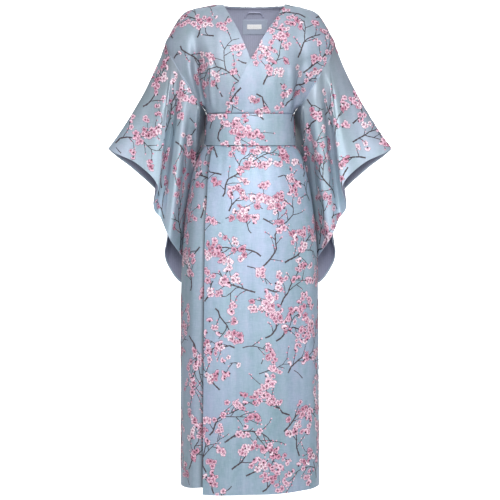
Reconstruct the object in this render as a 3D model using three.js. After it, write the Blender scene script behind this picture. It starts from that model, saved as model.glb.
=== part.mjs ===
// A long wrap robe of kimono cut in patterned satin, as it stands when worn, with nobody in it.
//
// Millimetres, +Z up, the front of the robe faces -Y and its left front (+X) laps over its right front.
// The origin lies between the shoulders, at the height of the neck points, where the wearer carries the robe.
//
// Each piece that is cut and sewn is one mesh: a back, two fronts, two wide sleeves with their linings, the lining
// of the back neck, a stiffened sash, and inside the neck a hanger loop, a patch and a plain label.
// Every cloth piece is a thin wall: a grid of points from the sections below, moved out along its normals.
import * as THREE from "three";

// ---------------------------------------------------------------- sizes
const CLOTH = 1.4; // the patterned satin with its interlining
const LINING = 1.0; // the plain lining
const LOOSE = 0.8; // between a cloth and its lining
const LAP = 2.8; // how far the left front lies outside the right front
const LAP_TO = 150; // where, out towards its own side, it is level with the back again
const LIFT = 6; // how much further its free edge stands off low in the skirt
const LIFT_WIDE = 80; // how far in from the edge that reaches
const SASH = 2.6; // the stiffened sash
const SEAM = 0.35; // each piece stops this far short of the middle of its seam
const SQUARE = 2.3; // how square the body's sections are: 2 is an ellipse
const HEM = -1427; // height of the hem
const HEM_DROP = 9; // how much lower the left front hangs at its free corner
const HEM_LIFT = 9; // how much higher the right front hangs where the left covers it
const UNDERARM = -315; // height of the underarm point, just over the sash
const SHOULDER_TIP = -119; // height where the shoulder seam ends and the dropped armhole starts
const SASH_TOP = -321.5,
  SASH_FOOT = -414;
const UNDER_REACH = 74; // how far past the middle the right front runs on, under the left front

// The body's sections, from the neck points to the hem: half widths to each side, how deep the front and the back
// stand at the middle, how deep they are at the outer edge, and the power that rounds a section off at that edge.
const SECTIONS = [
  { z: 3, left: 79, right: 100, front: -14, back: 52, edgeF: 10, edgeB: 10, round: 0.45 },
  { z: -5, left: 126, right: 130, front: -24, back: 60, edgeF: 10, edgeB: 10, round: 0.45 },
  { z: -11, left: 160, right: 163, front: -30, back: 66, edgeF: 10, edgeB: 10, round: 0.45 },
  { z: -22, left: 191, right: 193, front: -40, back: 73, edgeF: 10, edgeB: 10, round: 0.45 },
  { z: -52, left: 217, right: 218, front: -62, back: 86, edgeF: 10, edgeB: 10, round: 0.45 },
  { z: -84, left: 235, right: 236, front: -79, back: 96, edgeF: 10, edgeB: 10, round: 0.46 },
  { z: -119, left: 252, right: 252, front: -90, back: 102, edgeF: 10, edgeB: 10, round: 0.5 },
  { z: -134, left: 244, right: 244, front: -94, back: 103, edgeF: -10, edgeB: 30, round: 0.6 },
  { z: -152, left: 233, right: 235, front: -97, back: 103, edgeF: -27, edgeB: 45, round: 0.75 },
  { z: -178, left: 218, right: 220, front: -102, back: 103, edgeF: -42, edgeB: 58, round: 1 },
  { z: -213, left: 198, right: 201, front: -105, back: 101, edgeF: -50, edgeB: 65, round: 1 },
  { z: -245, left: 176, right: 180, front: -104, back: 98, edgeF: -47, edgeB: 62, round: 1 },
  { z: -279, left: 155, right: 160, front: -101, back: 95, edgeF: -34, edgeB: 46, round: 0.8 },
  { z: -300, left: 141, right: 144, front: -98.5, back: 93, edgeF: -18, edgeB: 25, round: 0.6 },
  { z: -315, left: 131, right: 132, front: -97, back: 92, edgeF: 1, edgeB: 1, round: 0.46 },
  { z: -320.5, left: 121, right: 121, front: -93, back: 89.5, edgeF: 1, edgeB: 1, round: 0.45 },
  { z: -368, left: 124, right: 124, front: -93.5, back: 90, edgeF: 1, edgeB: 1, round: 0.45 },
  { z: -414.6, left: 127.3, right: 127.3, front: -95, back: 91.5, edgeF: 1, edgeB: 1, round: 0.45 },
  { z: -421, left: 138, right: 139, front: -100, back: 97, edgeF: 1, edgeB: 1, round: 0.45 },
  { z: -443, left: 150, right: 153, front: -106, back: 106, edgeF: 1, edgeB: 1, round: 0.45 },
  { z: -487, left: 168, right: 168, front: -116, back: 122, edgeF: 1, edgeB: 1, round: 0.45 },
  { z: -552, left: 181, right: 180, front: -124, back: 134, edgeF: 1, edgeB: 1, round: 0.45 },
  { z: -620, left: 192, right: 190, front: -128, back: 138, edgeF: 1, edgeB: 1, round: 0.45 },
  { z: -745, left: 202, right: 200, front: -132, back: 139, edgeF: 1, edgeB: 1, round: 0.45 },
  { z: -873, left: 206, right: 203, front: -136, back: 140, edgeF: 1, edgeB: 1, round: 0.45 },
  { z: HEM, left: 208, right: 208, front: -145, back: 142, edgeF: 1, edgeB: 1, round: 0.45 },
];

// The front edges: how far each stands from the middle, by height.
const OVER_EDGE = [
  { z: 2, x: 102 },
  { z: -9, x: 98.5 },
  { z: -18, x: 92 },
  { z: -49, x: 72.6 },
  { z: -79, x: 51.6 },
  { z: -109, x: 33 },
  { z: -138, x: 17.5 },
  { z: -164, x: 1.5 },
  { z: -216, x: -26 },
  { z: -282, x: -55.5 },
  { z: -315, x: -70 },
  { z: -368, x: -90 },
  { z: -416, x: -107 },
  { z: -500, x: -119 },
  { z: -576, x: -123 },
  { z: -648, x: -127 },
  { z: -790, x: -129 },
  { z: HEM, x: -135 },
];
const UNDER_EDGE = [
  { z: 2, x: -79 },
  { z: -22, x: -65.5 },
  { z: -79, x: -33.6 },
  { z: -109, x: -20.3 },
  { z: -138, x: -8 },
  { z: -164, x: 1.8 },
  { z: -315, x: 58 },
  { z: -416, x: 66 },
  { z: -552, x: 72 },
  { z: HEM, x: UNDER_REACH },
];

// The valley where the cloth folds in between chest and arm, on each side: place, depth and breadth by height.
const ARMPIT = [
  { z: -70, left: -162, right: 152, deepL: 0, deepR: 0, broad: 16 },
  { z: -130, left: -157, right: 150, deepL: 13, deepR: 2, broad: 16 },
  { z: -200, left: -150, right: 148, deepL: 22, deepR: 10, broad: 16 },
  { z: -270, left: -140, right: 143, deepL: 20, deepR: 15, broad: 13 },
  { z: -315, left: -128, right: 130, deepL: 0, deepR: 0, broad: 10 },
];

// The skirt's soft vertical folds: side, place as a share of the way round (0 middle, 1 side seam), how deep, how broad.
const SKIRT_FOLDS = [
  { half: "front", at: 0.8, deep: 3, broad: 0.09, top: -430, foot: HEM },
  { half: "front", at: -0.86, deep: 4, broad: 0.08, top: -430, foot: -1300 },
  { half: "back", at: 0.55, deep: -7, broad: 0.12, top: -470, foot: HEM },
  { half: "back", at: -0.5, deep: -8, broad: 0.13, top: -460, foot: HEM },
  { half: "back", at: 0.05, deep: 5, broad: 0.12, top: -520, foot: HEM },
];

// A sleeve, for the side where x is positive. Once round it, from the fold on top down the front, past the seam
// underneath and up the back: the share of the way round, the height on the armhole where that line starts,
// the point of the cuff where it ends, how far it bows out between the two, and how far it swells near the armhole.
const SLEEVE = [
  { name: "top fold", v: 0.0, from: -119, x: 421, y: 5, z: -424, bowX: -30, bowY: 0, nearX: 0, nearY: 0 },
  { name: "front edge", v: 0.04, from: -123, x: 399, y: -9, z: -437, bowX: -28, bowY: -6, nearX: 0, nearY: 0 },
  { name: "front panel", v: 0.12, from: -138, x: 334, y: -25, z: -468, bowX: -14, bowY: -8, nearX: 0, nearY: 0 },
  { name: "outer ridge", v: 0.215, from: -160, x: 273, y: -36, z: -532, bowX: 0, bowY: -8, nearX: 0, nearY: 0 },
  { name: "turn", v: 0.265, from: -178, x: 285, y: -8, z: -597, bowX: 0, bowY: 4, nearX: 0, nearY: 0 },
  { name: "trough", v: 0.31, from: -195, x: 268, y: 12, z: -628, bowX: 0, bowY: 26, nearX: 0, nearY: 0 },
  { name: "inner ridge", v: 0.38, from: -236, x: 239, y: -12, z: -690, bowX: 2, bowY: -6, nearX: 0, nearY: -6 },
  { name: "inner front", v: 0.44, from: -280, x: 205, y: 47, z: -747, bowX: 2, bowY: 46, nearX: -2, nearY: -12 },
  { name: "inner fold", v: 0.47, from: -300, x: 187, y: 78, z: -792, bowX: 4, bowY: 88, nearX: 2, nearY: -44 },
  { name: "under seam", v: 0.5, from: -315, x: 168, y: 112, z: -836, bowX: 8, bowY: 88, nearX: -9, nearY: 32 },
  { name: "back foot", v: 0.55, from: -294, x: 212, y: 122, z: -832, bowX: 6, bowY: 84, nearX: 0, nearY: 10 },
  { name: "back corner", v: 0.6, from: -270, x: 244, y: 118, z: -792, bowX: 4, bowY: 64, nearX: 0, nearY: 0 },
  { name: "back bulge", v: 0.66, from: -245, x: 260, y: 104, z: -743, bowX: 0, bowY: 40, nearX: 0, nearY: 0 },
  { name: "back hollow", v: 0.73, from: -218, x: 248, y: 76, z: -676, bowX: 0, bowY: 14, nearX: 0, nearY: 0 },
  { name: "back ridge", v: 0.8, from: -190, x: 262, y: 66, z: -600, bowX: 0, bowY: 26, nearX: 0, nearY: 0 },
  { name: "back turn", v: 0.86, from: -166, x: 279, y: 44, z: -551, bowX: 0, bowY: 14, nearX: 0, nearY: 0 },
  { name: "back panel", v: 0.92, from: -142, x: 352, y: 30, z: -482, bowX: -14, bowY: 8, nearX: 0, nearY: 0 },
  { name: "back edge", v: 0.965, from: -125, x: 397, y: 17, z: -447, bowX: -28, bowY: 5, nearX: 0, nearY: 0 },
];

// The sash: its outer face at the top and at the foot.
const SASH_SECTIONS = [
  { z: SASH_TOP, half: 128.6, front: -101, back: 98 },
  { z: SASH_FOOT, half: 135, front: -103, back: 100 },
];
const NEAR = 0.1; // how far along the sleeve the swelling near the armhole is greatest
const SASH_LAP = 34; // how far one end of the sash laps over the other, at the middle of the back

// Inside the back neck.
const NECK_MIDDLE = 13;
const NECK_DIP = 2; // how much the back neck hollows between the neck points
const PATCH = { wide: 75.5, shift: 2, top: -36.5, foot: -82, thick: 1 };
const LABEL = { wide: 44, shift: 0, top: -51, foot: -65, thick: 0.6 };
const LOOP = { wide: 54, foot: -33, rise: 14, out: 6.6, tape: 4, thick: 1.6 };

// How finely the walls are divided.
const BODY_ROWS = [
  -1, -5, -11, -24, -52, -84, -119, -134, -152, -178, -210, -245, -279, -300, -315, -320.5, -368, -414.6, -421, -443, -487,
  -552, -650, -800, -1100, HEM,
];
const FRONT_COLUMNS = 12,
  BACK_COLUMNS = 14;
const SLEEVE_ROUND = 28;
const SLEEVE_ROWS = [0, 0.05, 0.11, 0.19, 0.31, 0.46, 0.62, 0.8, 1];
const SASH_COLUMNS = 36;

// ---------------------------------------------------------------- curves from tables
// A curve through the rows of a table that never overshoots them. The rows go one way in the key column.
function through(table, key, column) {
  const rows = [...table].sort((a, b) => a[key] - b[key]);
  const k = rows.map((r) => r[key]);
  const f = rows.map((r) => r[column]);
  const n = rows.length;
  const d = [];
  for (let i = 0; i < n - 1; i++) d.push((f[i + 1] - f[i]) / (k[i + 1] - k[i]));
  const m = f.map((_, i) => {
    if (i === 0) return d[0];
    if (i === n - 1) return d[n - 2];
    return d[i - 1] * d[i] <= 0 ? 0 : (2 * d[i - 1] * d[i]) / (d[i - 1] + d[i]);
  });
  return (at) => {
    if (at <= k[0]) return f[0];
    if (at >= k[n - 1]) return f[n - 1];
    let i = 0;
    while (at > k[i + 1]) i++;
    const h = k[i + 1] - k[i];
    const t = (at - k[i]) / h;
    return (
      f[i] * (1 + 2 * t) * (1 - t) ** 2 +
      m[i] * h * t * (1 - t) ** 2 +
      f[i + 1] * t * t * (3 - 2 * t) +
      m[i + 1] * h * t * t * (t - 1)
    );
  };
}

// The same for a table that closes on itself, with its key from 0 to 1.
function around(table, key, column) {
  const rows = [
    ...table.map((r) => ({ k: r[key] - 1, f: r[column] })),
    ...table.map((r) => ({ k: r[key], f: r[column] })),
    ...table.map((r) => ({ k: r[key] + 1, f: r[column] })),
  ];
  const n = rows.length;
  const slope = (i) => (rows[i + 1].f - rows[i - 1].f) / (rows[i + 1].k - rows[i - 1].k);
  return (at) => {
    let i = table.length - 1;
    while (i < n - 2 && at > rows[i + 1].k) i++;
    const h = rows[i + 1].k - rows[i].k;
    const t = (at - rows[i].k) / h;
    return (
      rows[i].f * (1 + 2 * t) * (1 - t) ** 2 +
      slope(i) * h * t * (1 - t) ** 2 +
      rows[i + 1].f * t * t * (3 - 2 * t) +
      slope(i + 1) * h * t * t * (t - 1)
    );
  };
}

const section = {};
for (const column of ["left", "right", "front", "back", "edgeF", "edgeB", "round"])
  section[column] = through(SECTIONS, "z", column);
const armpit = {};
for (const column of ["left", "right", "deepL", "deepR", "broad"]) armpit[column] = through(ARMPIT, "z", column);
const overEdge = through(OVER_EDGE, "z", "x");
const underEdge = through(UNDER_EDGE, "z", "x");
const bell = (t) => Math.exp(-t * t);
const smooth = (t) => {
  const c = Math.min(1, Math.max(0, t));
  return c * c * (3 - 2 * c);
};

// ---------------------------------------------------------------- the body
// The point of the front or the back at height z, a share of the way from the middle (0) to the side (-1 or 1).
function bodyPoint(half, share, z) {
  const wide = share < 0 ? section.left(z) : section.right(z);
  const angle = (Math.abs(share) * Math.PI) / 2;
  const x = Math.sign(share) * wide * Math.sin(angle) ** (2 / SQUARE);
  const middle = section[half === "front" ? "front" : "back"](z);
  const edge = section[half === "front" ? "edgeF" : "edgeB"](z);
  let y = edge + (middle - edge) * Math.max(0, Math.cos(angle)) ** (2 * section.round(z));
  if (half === "front" && z > UNDERARM && z < -70) {
    const valley = Math.min(1, (1 - Math.abs(share)) * 6);
    y += valley * armpit.deepL(z) * bell((x - armpit.left(z)) / armpit.broad(z));
    y += valley * armpit.deepR(z) * bell((x - armpit.right(z)) / armpit.broad(z));
  }
  for (const f of SKIRT_FOLDS)
    if (f.half === half)
      y +=
        (half === "front" ? 1 : -1) *
        f.deep *
        bell((share - f.at) / f.broad) *
        smooth((f.top - z) / 200) *
        (1 - 0.4 * smooth((f.top - z) / (f.top - f.foot)));
  return new THREE.Vector3(x, y, z);
}

// The share of the way round at which the front stands x from the middle.
function shareOf(x, z) {
  const wide = x < 0 ? section.left(z) : section.right(z);
  const ratio = Math.min(1, Math.abs(x) / wide);
  return (Math.sign(x) * 2 * Math.asin(ratio ** (SQUARE / 2))) / Math.PI;
}

// ---------------------------------------------------------------- the sleeve
const cuff = {};
for (const column of ["from", "x", "y", "z", "bowX", "bowY", "nearX", "nearY"]) cuff[column] = around(SLEEVE, "v", column);
const clampZ = (z) => Math.min(SHOULDER_TIP, Math.max(UNDERARM, z));

// The edge of the body's armhole at height z, straight from one row of the body to the next.
function armEdge(side, half, z) {
  let i = 0;
  while (i < BODY_ROWS.length - 2 && z < BODY_ROWS[i + 1]) i++;
  const a = bodyPoint(half, side, BODY_ROWS[i]);
  const b = bodyPoint(half, side, BODY_ROWS[i + 1]);
  return a.lerp(b, (z - BODY_ROWS[i]) / (BODY_ROWS[i + 1] - BODY_ROWS[i]));
}

// The point v of the way round and w of the way from the armhole to the cuff: side is 1 or -1.
function sleevePoint(side, v, w) {
  const a = armEdge(side, v < 0.5 ? "front" : "back", clampZ(cuff.from(v)));
  const c = new THREE.Vector3(side * cuff.x(v), cuff.y(v), cuff.z(v));
  const bow = 2 * w * (1 - w);
  const near = ((w / NEAR) * Math.exp(1 - w / NEAR)) ** 1.5;
  const x = bow * cuff.bowX(v) + near * cuff.nearX(v);
  const y = bow * cuff.bowY(v) + near * cuff.nearY(v);
  return a.lerp(c, w).add(new THREE.Vector3(side * x, y, 0));
}

// The line of the sleeve that starts at height z of the armhole.
function lineAt(half, z) {
  let lo = half === "front" ? 0 : 0.5;
  let hi = lo + 0.5;
  for (let k = 0; k < 30; k++) {
    const v = (lo + hi) / 2;
    if (cuff.from(v) > z === (half === "front")) lo = v;
    else hi = v;
  }
  return (lo + hi) / 2;
}

// Where body and sleeve meet, both walls stand along the same direction: midway between their two normals.
function seamNormal(side, half, z) {
  const sign = half === "front" ? -1 : 1;
  const e = 0.5;
  const at = bodyPoint(half, side * 0.97, z);
  const across = bodyPoint(half, side, z).sub(at).multiplyScalar(side);
  const down = bodyPoint(half, side * 0.97, z - e).sub(at);
  const body = across.cross(down).multiplyScalar(sign).normalize();
  const v = lineAt(half, z);
  const p = sleevePoint(side, v, 0.02);
  const round = sleevePoint(side, v + 0.01, 0.02).sub(sleevePoint(side, v - 0.01, 0.02));
  const along = sleevePoint(side, v, 0.06).sub(p);
  const sleeve = round.cross(along).multiplyScalar(side).normalize();
  return body.add(sleeve).normalize();
}

// ---------------------------------------------------------------- walls
// A grid of points, rows by columns, with the normal of each.
function gridOf(rows, columns, closed, outward, point) {
  const p = [];
  for (let i = 0; i < rows; i++) {
    p.push([]);
    for (let j = 0; j < columns; j++) p[i].push(point(i, j));
  }
  const n = [];
  for (let i = 0; i < rows; i++) {
    n.push([]);
    for (let j = 0; j < columns; j++) {
      const jb = closed ? (j + columns - 1) % columns : Math.max(0, j - 1);
      const ja = closed ? (j + 1) % columns : Math.min(columns - 1, j + 1);
      const across = p[i][ja].clone().sub(p[i][jb]);
      if (closed) across.subVectors(p[i][ja], p[i][j]).normalize().add(p[i][j].clone().sub(p[i][jb]).normalize());
      const down = p[Math.min(rows - 1, i + 1)][j].clone().sub(p[Math.max(0, i - 1)][j]);
      n[i].push(across.cross(down).multiplyScalar(outward).normalize());
    }
  }
  return { p, n, rows, columns, closed };
}

// The part of a grid from one row and column to another.
function partOf(g, rowFrom, rowTo, columnFrom, columnTo) {
  const cut = (m) => m.slice(rowFrom, rowTo + 1).map((r) => r.slice(columnFrom, columnTo + 1));
  return { p: cut(g.p), n: cut(g.n), rows: rowTo - rowFrom + 1, columns: columnTo - columnFrom + 1, closed: g.closed };
}

// The closed solid between two offsets of a grid. An offset is a number, or works it out from the point.
function wall(g, inner, outer) {
  const at = [];
  const faces = [];
  const put = (off) => {
    const first = at.length / 3;
    for (let i = 0; i < g.rows; i++)
      for (let j = 0; j < g.columns; j++) {
        const by = typeof off === "function" ? off(g.p[i][j]) : off;
        const q = g.p[i][j].clone().addScaledVector(g.n[i][j], by);
        at.push(q.x, q.y, q.z);
      }
    return (i, j) => first + i * g.columns + (g.closed ? j % g.columns : j);
  };
  const out = put(outer);
  const inn = put(inner);
  const quad = (a, b, c, d) => faces.push(a, b, c, a, c, d);
  const across = g.closed ? g.columns : g.columns - 1;
  for (let i = 0; i < g.rows - 1; i++)
    for (let j = 0; j < across; j++) {
      quad(out(i, j), out(i + 1, j), out(i + 1, j + 1), out(i, j + 1));
      quad(inn(i, j), inn(i, j + 1), inn(i + 1, j + 1), inn(i + 1, j)); // split along the same diagonal
    }
  for (let j = 0; j < across; j++) {
    quad(out(0, j), out(0, j + 1), inn(0, j + 1), inn(0, j));
    const e = g.rows - 1;
    quad(out(e, j), inn(e, j), inn(e, j + 1), out(e, j + 1));
  }
  if (!g.closed)
    for (let i = 0; i < g.rows - 1; i++) {
      quad(out(i, 0), inn(i, 0), inn(i + 1, 0), out(i + 1, 0));
      const e = g.columns - 1;
      quad(out(i, e), out(i + 1, e), inn(i + 1, e), inn(i, e));
    }
  let volume = 0;
  const v = (k) => new THREE.Vector3(at[3 * k], at[3 * k + 1], at[3 * k + 2]);
  for (let k = 0; k < faces.length; k += 3) volume += v(faces[k]).dot(v(faces[k + 1]).cross(v(faces[k + 2])));
  if (volume < 0) for (let k = 0; k < faces.length; k += 3) [faces[k], faces[k + 1]] = [faces[k + 1], faces[k]];
  const geometry = new THREE.BufferGeometry();
  geometry.setAttribute("position", new THREE.Float32BufferAttribute(at, 3));
  geometry.setIndex(faces);
  geometry.computeVertexNormals();
  return geometry;
}

// A front or the back, from one line down the body to another, with its edges ready for their seams.
function bodyGrid(half, from, to, columns, hem = () => 0) {
  const shareAt = (i, j) => {
    const a = from(BODY_ROWS[i]);
    return a + ((to(BODY_ROWS[i]) - a) * j) / columns;
  };
  const sign = half === "front" ? -1 : 1;
  const g = gridOf(BODY_ROWS.length, columns + 1, false, sign, (i, j) => {
    const p = bodyPoint(half, shareAt(i, j), BODY_ROWS[i]);
    if (BODY_ROWS[i] === HEM) p.z -= hem(p.x);
    if (i === 0 && half === "back") p.z -= NECK_DIP * Math.max(0, 1 - ((p.x - 10) / 90) ** 2);
    return p;
  });
  for (let i = 0; i < g.rows; i++)
    for (const j of [0, columns]) {
      const z = BODY_ROWS[i];
      const share = shareAt(i, j);
      if (Math.abs(share) < 0.999) continue;
      if (z < SHOULDER_TIP && z > UNDERARM) {
        g.n[i][j].copy(seamNormal(share, half, z)); // the armhole
        g.p[i][j].lerp(g.p[i][j ? j - 1 : 1], SEAM / g.p[i][j].distanceTo(g.p[i][j ? j - 1 : 1]));
      } else {
        g.n[i][j].y = 0; // a shoulder or side seam, where front and back meet face to face
        g.n[i][j].normalize();
        g.p[i][j].y += sign * SEAM;
      }
    }
  return g;
}

// ---------------------------------------------------------------- the pieces
const robe = new THREE.Group();
robe.name = "kimono_robe";
const satin = () => new THREE.MeshStandardMaterial({ color: 0xa9bfcc, roughness: 0.42, metalness: 0 });
const slate = () => new THREE.MeshStandardMaterial({ color: 0x7c8099, roughness: 0.6, metalness: 0 });
const white = () => new THREE.MeshStandardMaterial({ color: 0xe9edf3, roughness: 0.7, metalness: 0 });
function piece(name, geometry, material) {
  const mesh = new THREE.Mesh(geometry, material);
  mesh.name = name;
  robe.add(mesh);
}

const backGrid = bodyGrid("back", () => -1, () => 1, BACK_COLUMNS);
piece("back", wall(backGrid, -CLOTH, 0), satin());

const hemSide = section.right(HEM);
const hemRight = (x) => -HEM_LIFT * smooth((x + hemSide) / 75);
const underGrid = bodyGrid("front", () => -1, (z) => shareOf(underEdge(z), z), FRONT_COLUMNS, hemRight);
piece("front_right", wall(underGrid, -CLOTH, 0), satin());

const hemLeft = (x) => (HEM_DROP * (hemSide - x)) / (hemSide - overEdge(HEM));
const overGrid = bodyGrid("front", (z) => shareOf(overEdge(z), z), () => 1, FRONT_COLUMNS, hemLeft);
const lift = (p) => LIFT * smooth((SASH_FOOT - p.z) / 300) * (1 - smooth((p.x - overEdge(p.z)) / LIFT_WIDE));
const lap = (p) => LAP * smooth((LAP_TO - p.x) / (LAP_TO - UNDER_REACH)) + lift(p);
piece("front_left", wall(overGrid, (p) => lap(p) - CLOTH, lap), satin());

// The lining of the back, from the neck to the sash.
const liningInner = -CLOTH - LOOSE - LINING;
const liningGrid = partOf(backGrid, 0, BODY_ROWS.indexOf(-300), 1, BACK_COLUMNS - 1);
piece("back_lining", wall(liningGrid, liningInner, -CLOTH - LOOSE), slate());

// The sleeves, and the lining in each.
for (const [name, side] of [
  ["sleeve_right", -1],
  ["sleeve_left", 1],
]) {
  const g = gridOf(SLEEVE_ROWS.length, SLEEVE_ROUND, true, side, (i, j) => {
    const v = j / SLEEVE_ROUND;
    const start = SEAM / sleevePoint(side, v, 0).distanceTo(sleevePoint(side, v, 1));
    return sleevePoint(side, v, start + (1 - start) * SLEEVE_ROWS[i]);
  });
  for (let j = 1; j < SLEEVE_ROUND; j++) {
    const v = j / SLEEVE_ROUND;
    if (Math.abs(v - 0.5) < 0.01) continue;
    g.n[0][j].copy(seamNormal(side, v < 0.5 ? "front" : "back", clampZ(cuff.from(v))));
  }
  piece(name, wall(g, -CLOTH, 0), satin());
  const inside = partOf(g, 1, g.rows - 1, 0, g.columns - 1); // its lining starts a little past the armhole
  piece(name + "_lining", wall(inside, liningInner, -CLOTH - LOOSE), slate());
}

// The sash goes once round and laps over itself at the middle of the back.
const sash = (() => {
  const top = SASH_SECTIONS[0];
  const foot = SASH_SECTIONS[1];
  const whole = 1 + SASH_LAP / 700;
  const g = gridOf(2, SASH_COLUMNS + 1, false, -1, (k, j) => {
    const turn = (j / SASH_COLUMNS) * whole; // from the middle of the back, all the way round and a little past it
    const angle = turn * 2 * Math.PI;
    const s = Math.sin(angle);
    const c = Math.cos(angle);
    const half = top.half + (foot.half - top.half) * k;
    const deep = c < 0 ? top.front + (foot.front - top.front) * k : top.back + (foot.back - top.back) * k;
    const lap = (SASH + 0.5) * smooth((turn - 0.93) / (1 - 0.93)); // the last stretch climbs over the first
    return new THREE.Vector3(
      -Math.sign(s) * half * Math.abs(s) ** (2 / SQUARE) * (1 + lap / half),
      Math.abs(c) ** (2 / SQUARE) * deep * (1 + lap / 100),
      top.z + (foot.z - top.z) * k,
    );
  });
  return wall(g, -SASH, 0);
})();
piece("sash", sash, satin());

// Inside the back neck: a patch on the lining, a plain label on the patch, and a loop to hang the robe by.
function onLining({ wide, shift, top, foot, thick }, rowsCount, columns, off) {
  const g = gridOf(rowsCount + 1, columns + 1, false, 1, (i, j) => {
    const z = top + ((foot - top) * i) / rowsCount;
    const x = NECK_MIDDLE + shift + wide * (j / columns - 0.5);
    return bodyPoint("back", shareOf(x, z), z);
  });
  return wall(g, liningInner - off - thick, liningInner - off);
}
piece("neck_patch", onLining(PATCH, 4, 6, 1.6), slate());
piece("neck_label", onLining(LABEL, 2, 4, 1.6 + PATCH.thick + 0.5), white());

// The loop: a tape along an arch, standing off the lining so that a hook passes behind it.
{
  const STEPS = 14;
  const points = [];
  for (let k = 0; k <= STEPS; k++) {
    const t = k / STEPS;
    const x = NECK_MIDDLE + LOOP.wide * (t - 0.5);
    const z = LOOP.foot + LOOP.rise * Math.min(1, Math.sin(t * Math.PI) * 1.8) ** 0.6;
    const base = bodyPoint("back", shareOf(x, z), z);
    const off = 3 + LOOP.out * smooth(Math.sin(t * Math.PI) * 1.3);
    points.push(new THREE.Vector3(x, base.y + liningInner - off - LOOP.thick / 2, z));
  }
  const path = new THREE.CatmullRomCurve3(points);
  const tape = new THREE.Shape();
  tape.moveTo(-LOOP.thick / 2, -LOOP.tape / 2);
  tape.lineTo(LOOP.thick / 2, -LOOP.tape / 2);
  tape.lineTo(LOOP.thick / 2, LOOP.tape / 2);
  tape.lineTo(-LOOP.thick / 2, LOOP.tape / 2);
  tape.closePath();
  piece("hanger_loop", new THREE.ExtrudeGeometry(tape, { steps: 28, extrudePath: path, bevelEnabled: false }), slate());
}

export default robe;
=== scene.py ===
import math

import bmesh
import bpy
import numpy as np
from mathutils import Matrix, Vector
from mathutils.bvhtree import BVHTree


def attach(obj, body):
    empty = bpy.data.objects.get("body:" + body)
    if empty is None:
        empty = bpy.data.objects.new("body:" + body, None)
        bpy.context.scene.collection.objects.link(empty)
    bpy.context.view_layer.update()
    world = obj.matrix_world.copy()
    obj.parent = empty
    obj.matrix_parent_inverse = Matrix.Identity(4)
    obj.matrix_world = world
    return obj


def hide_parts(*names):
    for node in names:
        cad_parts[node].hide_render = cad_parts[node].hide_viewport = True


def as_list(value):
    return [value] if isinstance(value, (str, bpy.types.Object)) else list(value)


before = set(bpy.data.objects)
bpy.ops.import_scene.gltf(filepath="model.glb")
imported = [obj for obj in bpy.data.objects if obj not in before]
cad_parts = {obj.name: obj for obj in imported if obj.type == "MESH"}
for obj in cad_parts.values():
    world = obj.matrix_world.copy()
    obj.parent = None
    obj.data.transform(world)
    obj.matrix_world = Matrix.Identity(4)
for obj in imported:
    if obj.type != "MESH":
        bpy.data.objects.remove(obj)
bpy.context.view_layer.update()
MM = 0.001

# ---------------------------------------------------------------- the camera
# The photograph's view: from 5 m in front, at the height of the sash, tilted down to the middle of the frame.
PX = 2.97  # millimetres for one pixel of the 500 x 500 frame, at the robe's middle depth
cam_data = bpy.data.cameras.new("camera")
cam = bpy.data.objects.new("camera", cam_data)
bpy.context.scene.collection.objects.link(cam)
bpy.context.scene.camera = cam
cam_data.sensor_width = 36
cam_data.lens = 121.2
cam.location = (0, -5.0, -0.388)
cam.rotation_mode = "QUATERNION"
cam.rotation_quaternion = (Vector((0, 0, -0.725)) - cam.location).to_track_quat("-Z", "Y")
cam_data.clip_start, cam_data.clip_end = 0.1, 60

# ---------------------------------------------------------------- sizes, the same as the solids' own
CLOTH, LINING, LOOSE, LAP, LAP_TO = 1.4, 1.0, 0.8, 2.8, 150
LIFT, LIFT_WIDE = 6, 80
SASH, SASH_LAP, SEAM, SQUARE = 2.6, 34, 0.35, 2.3
HEM, UNDERARM, SHOULDER_TIP = -1427, -315, -119
SASH_TOP, SASH_FOOT = -321.5, -414
HEM_DROP, HEM_LIFT, UNDER_REACH = 9, 9, 74

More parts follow.
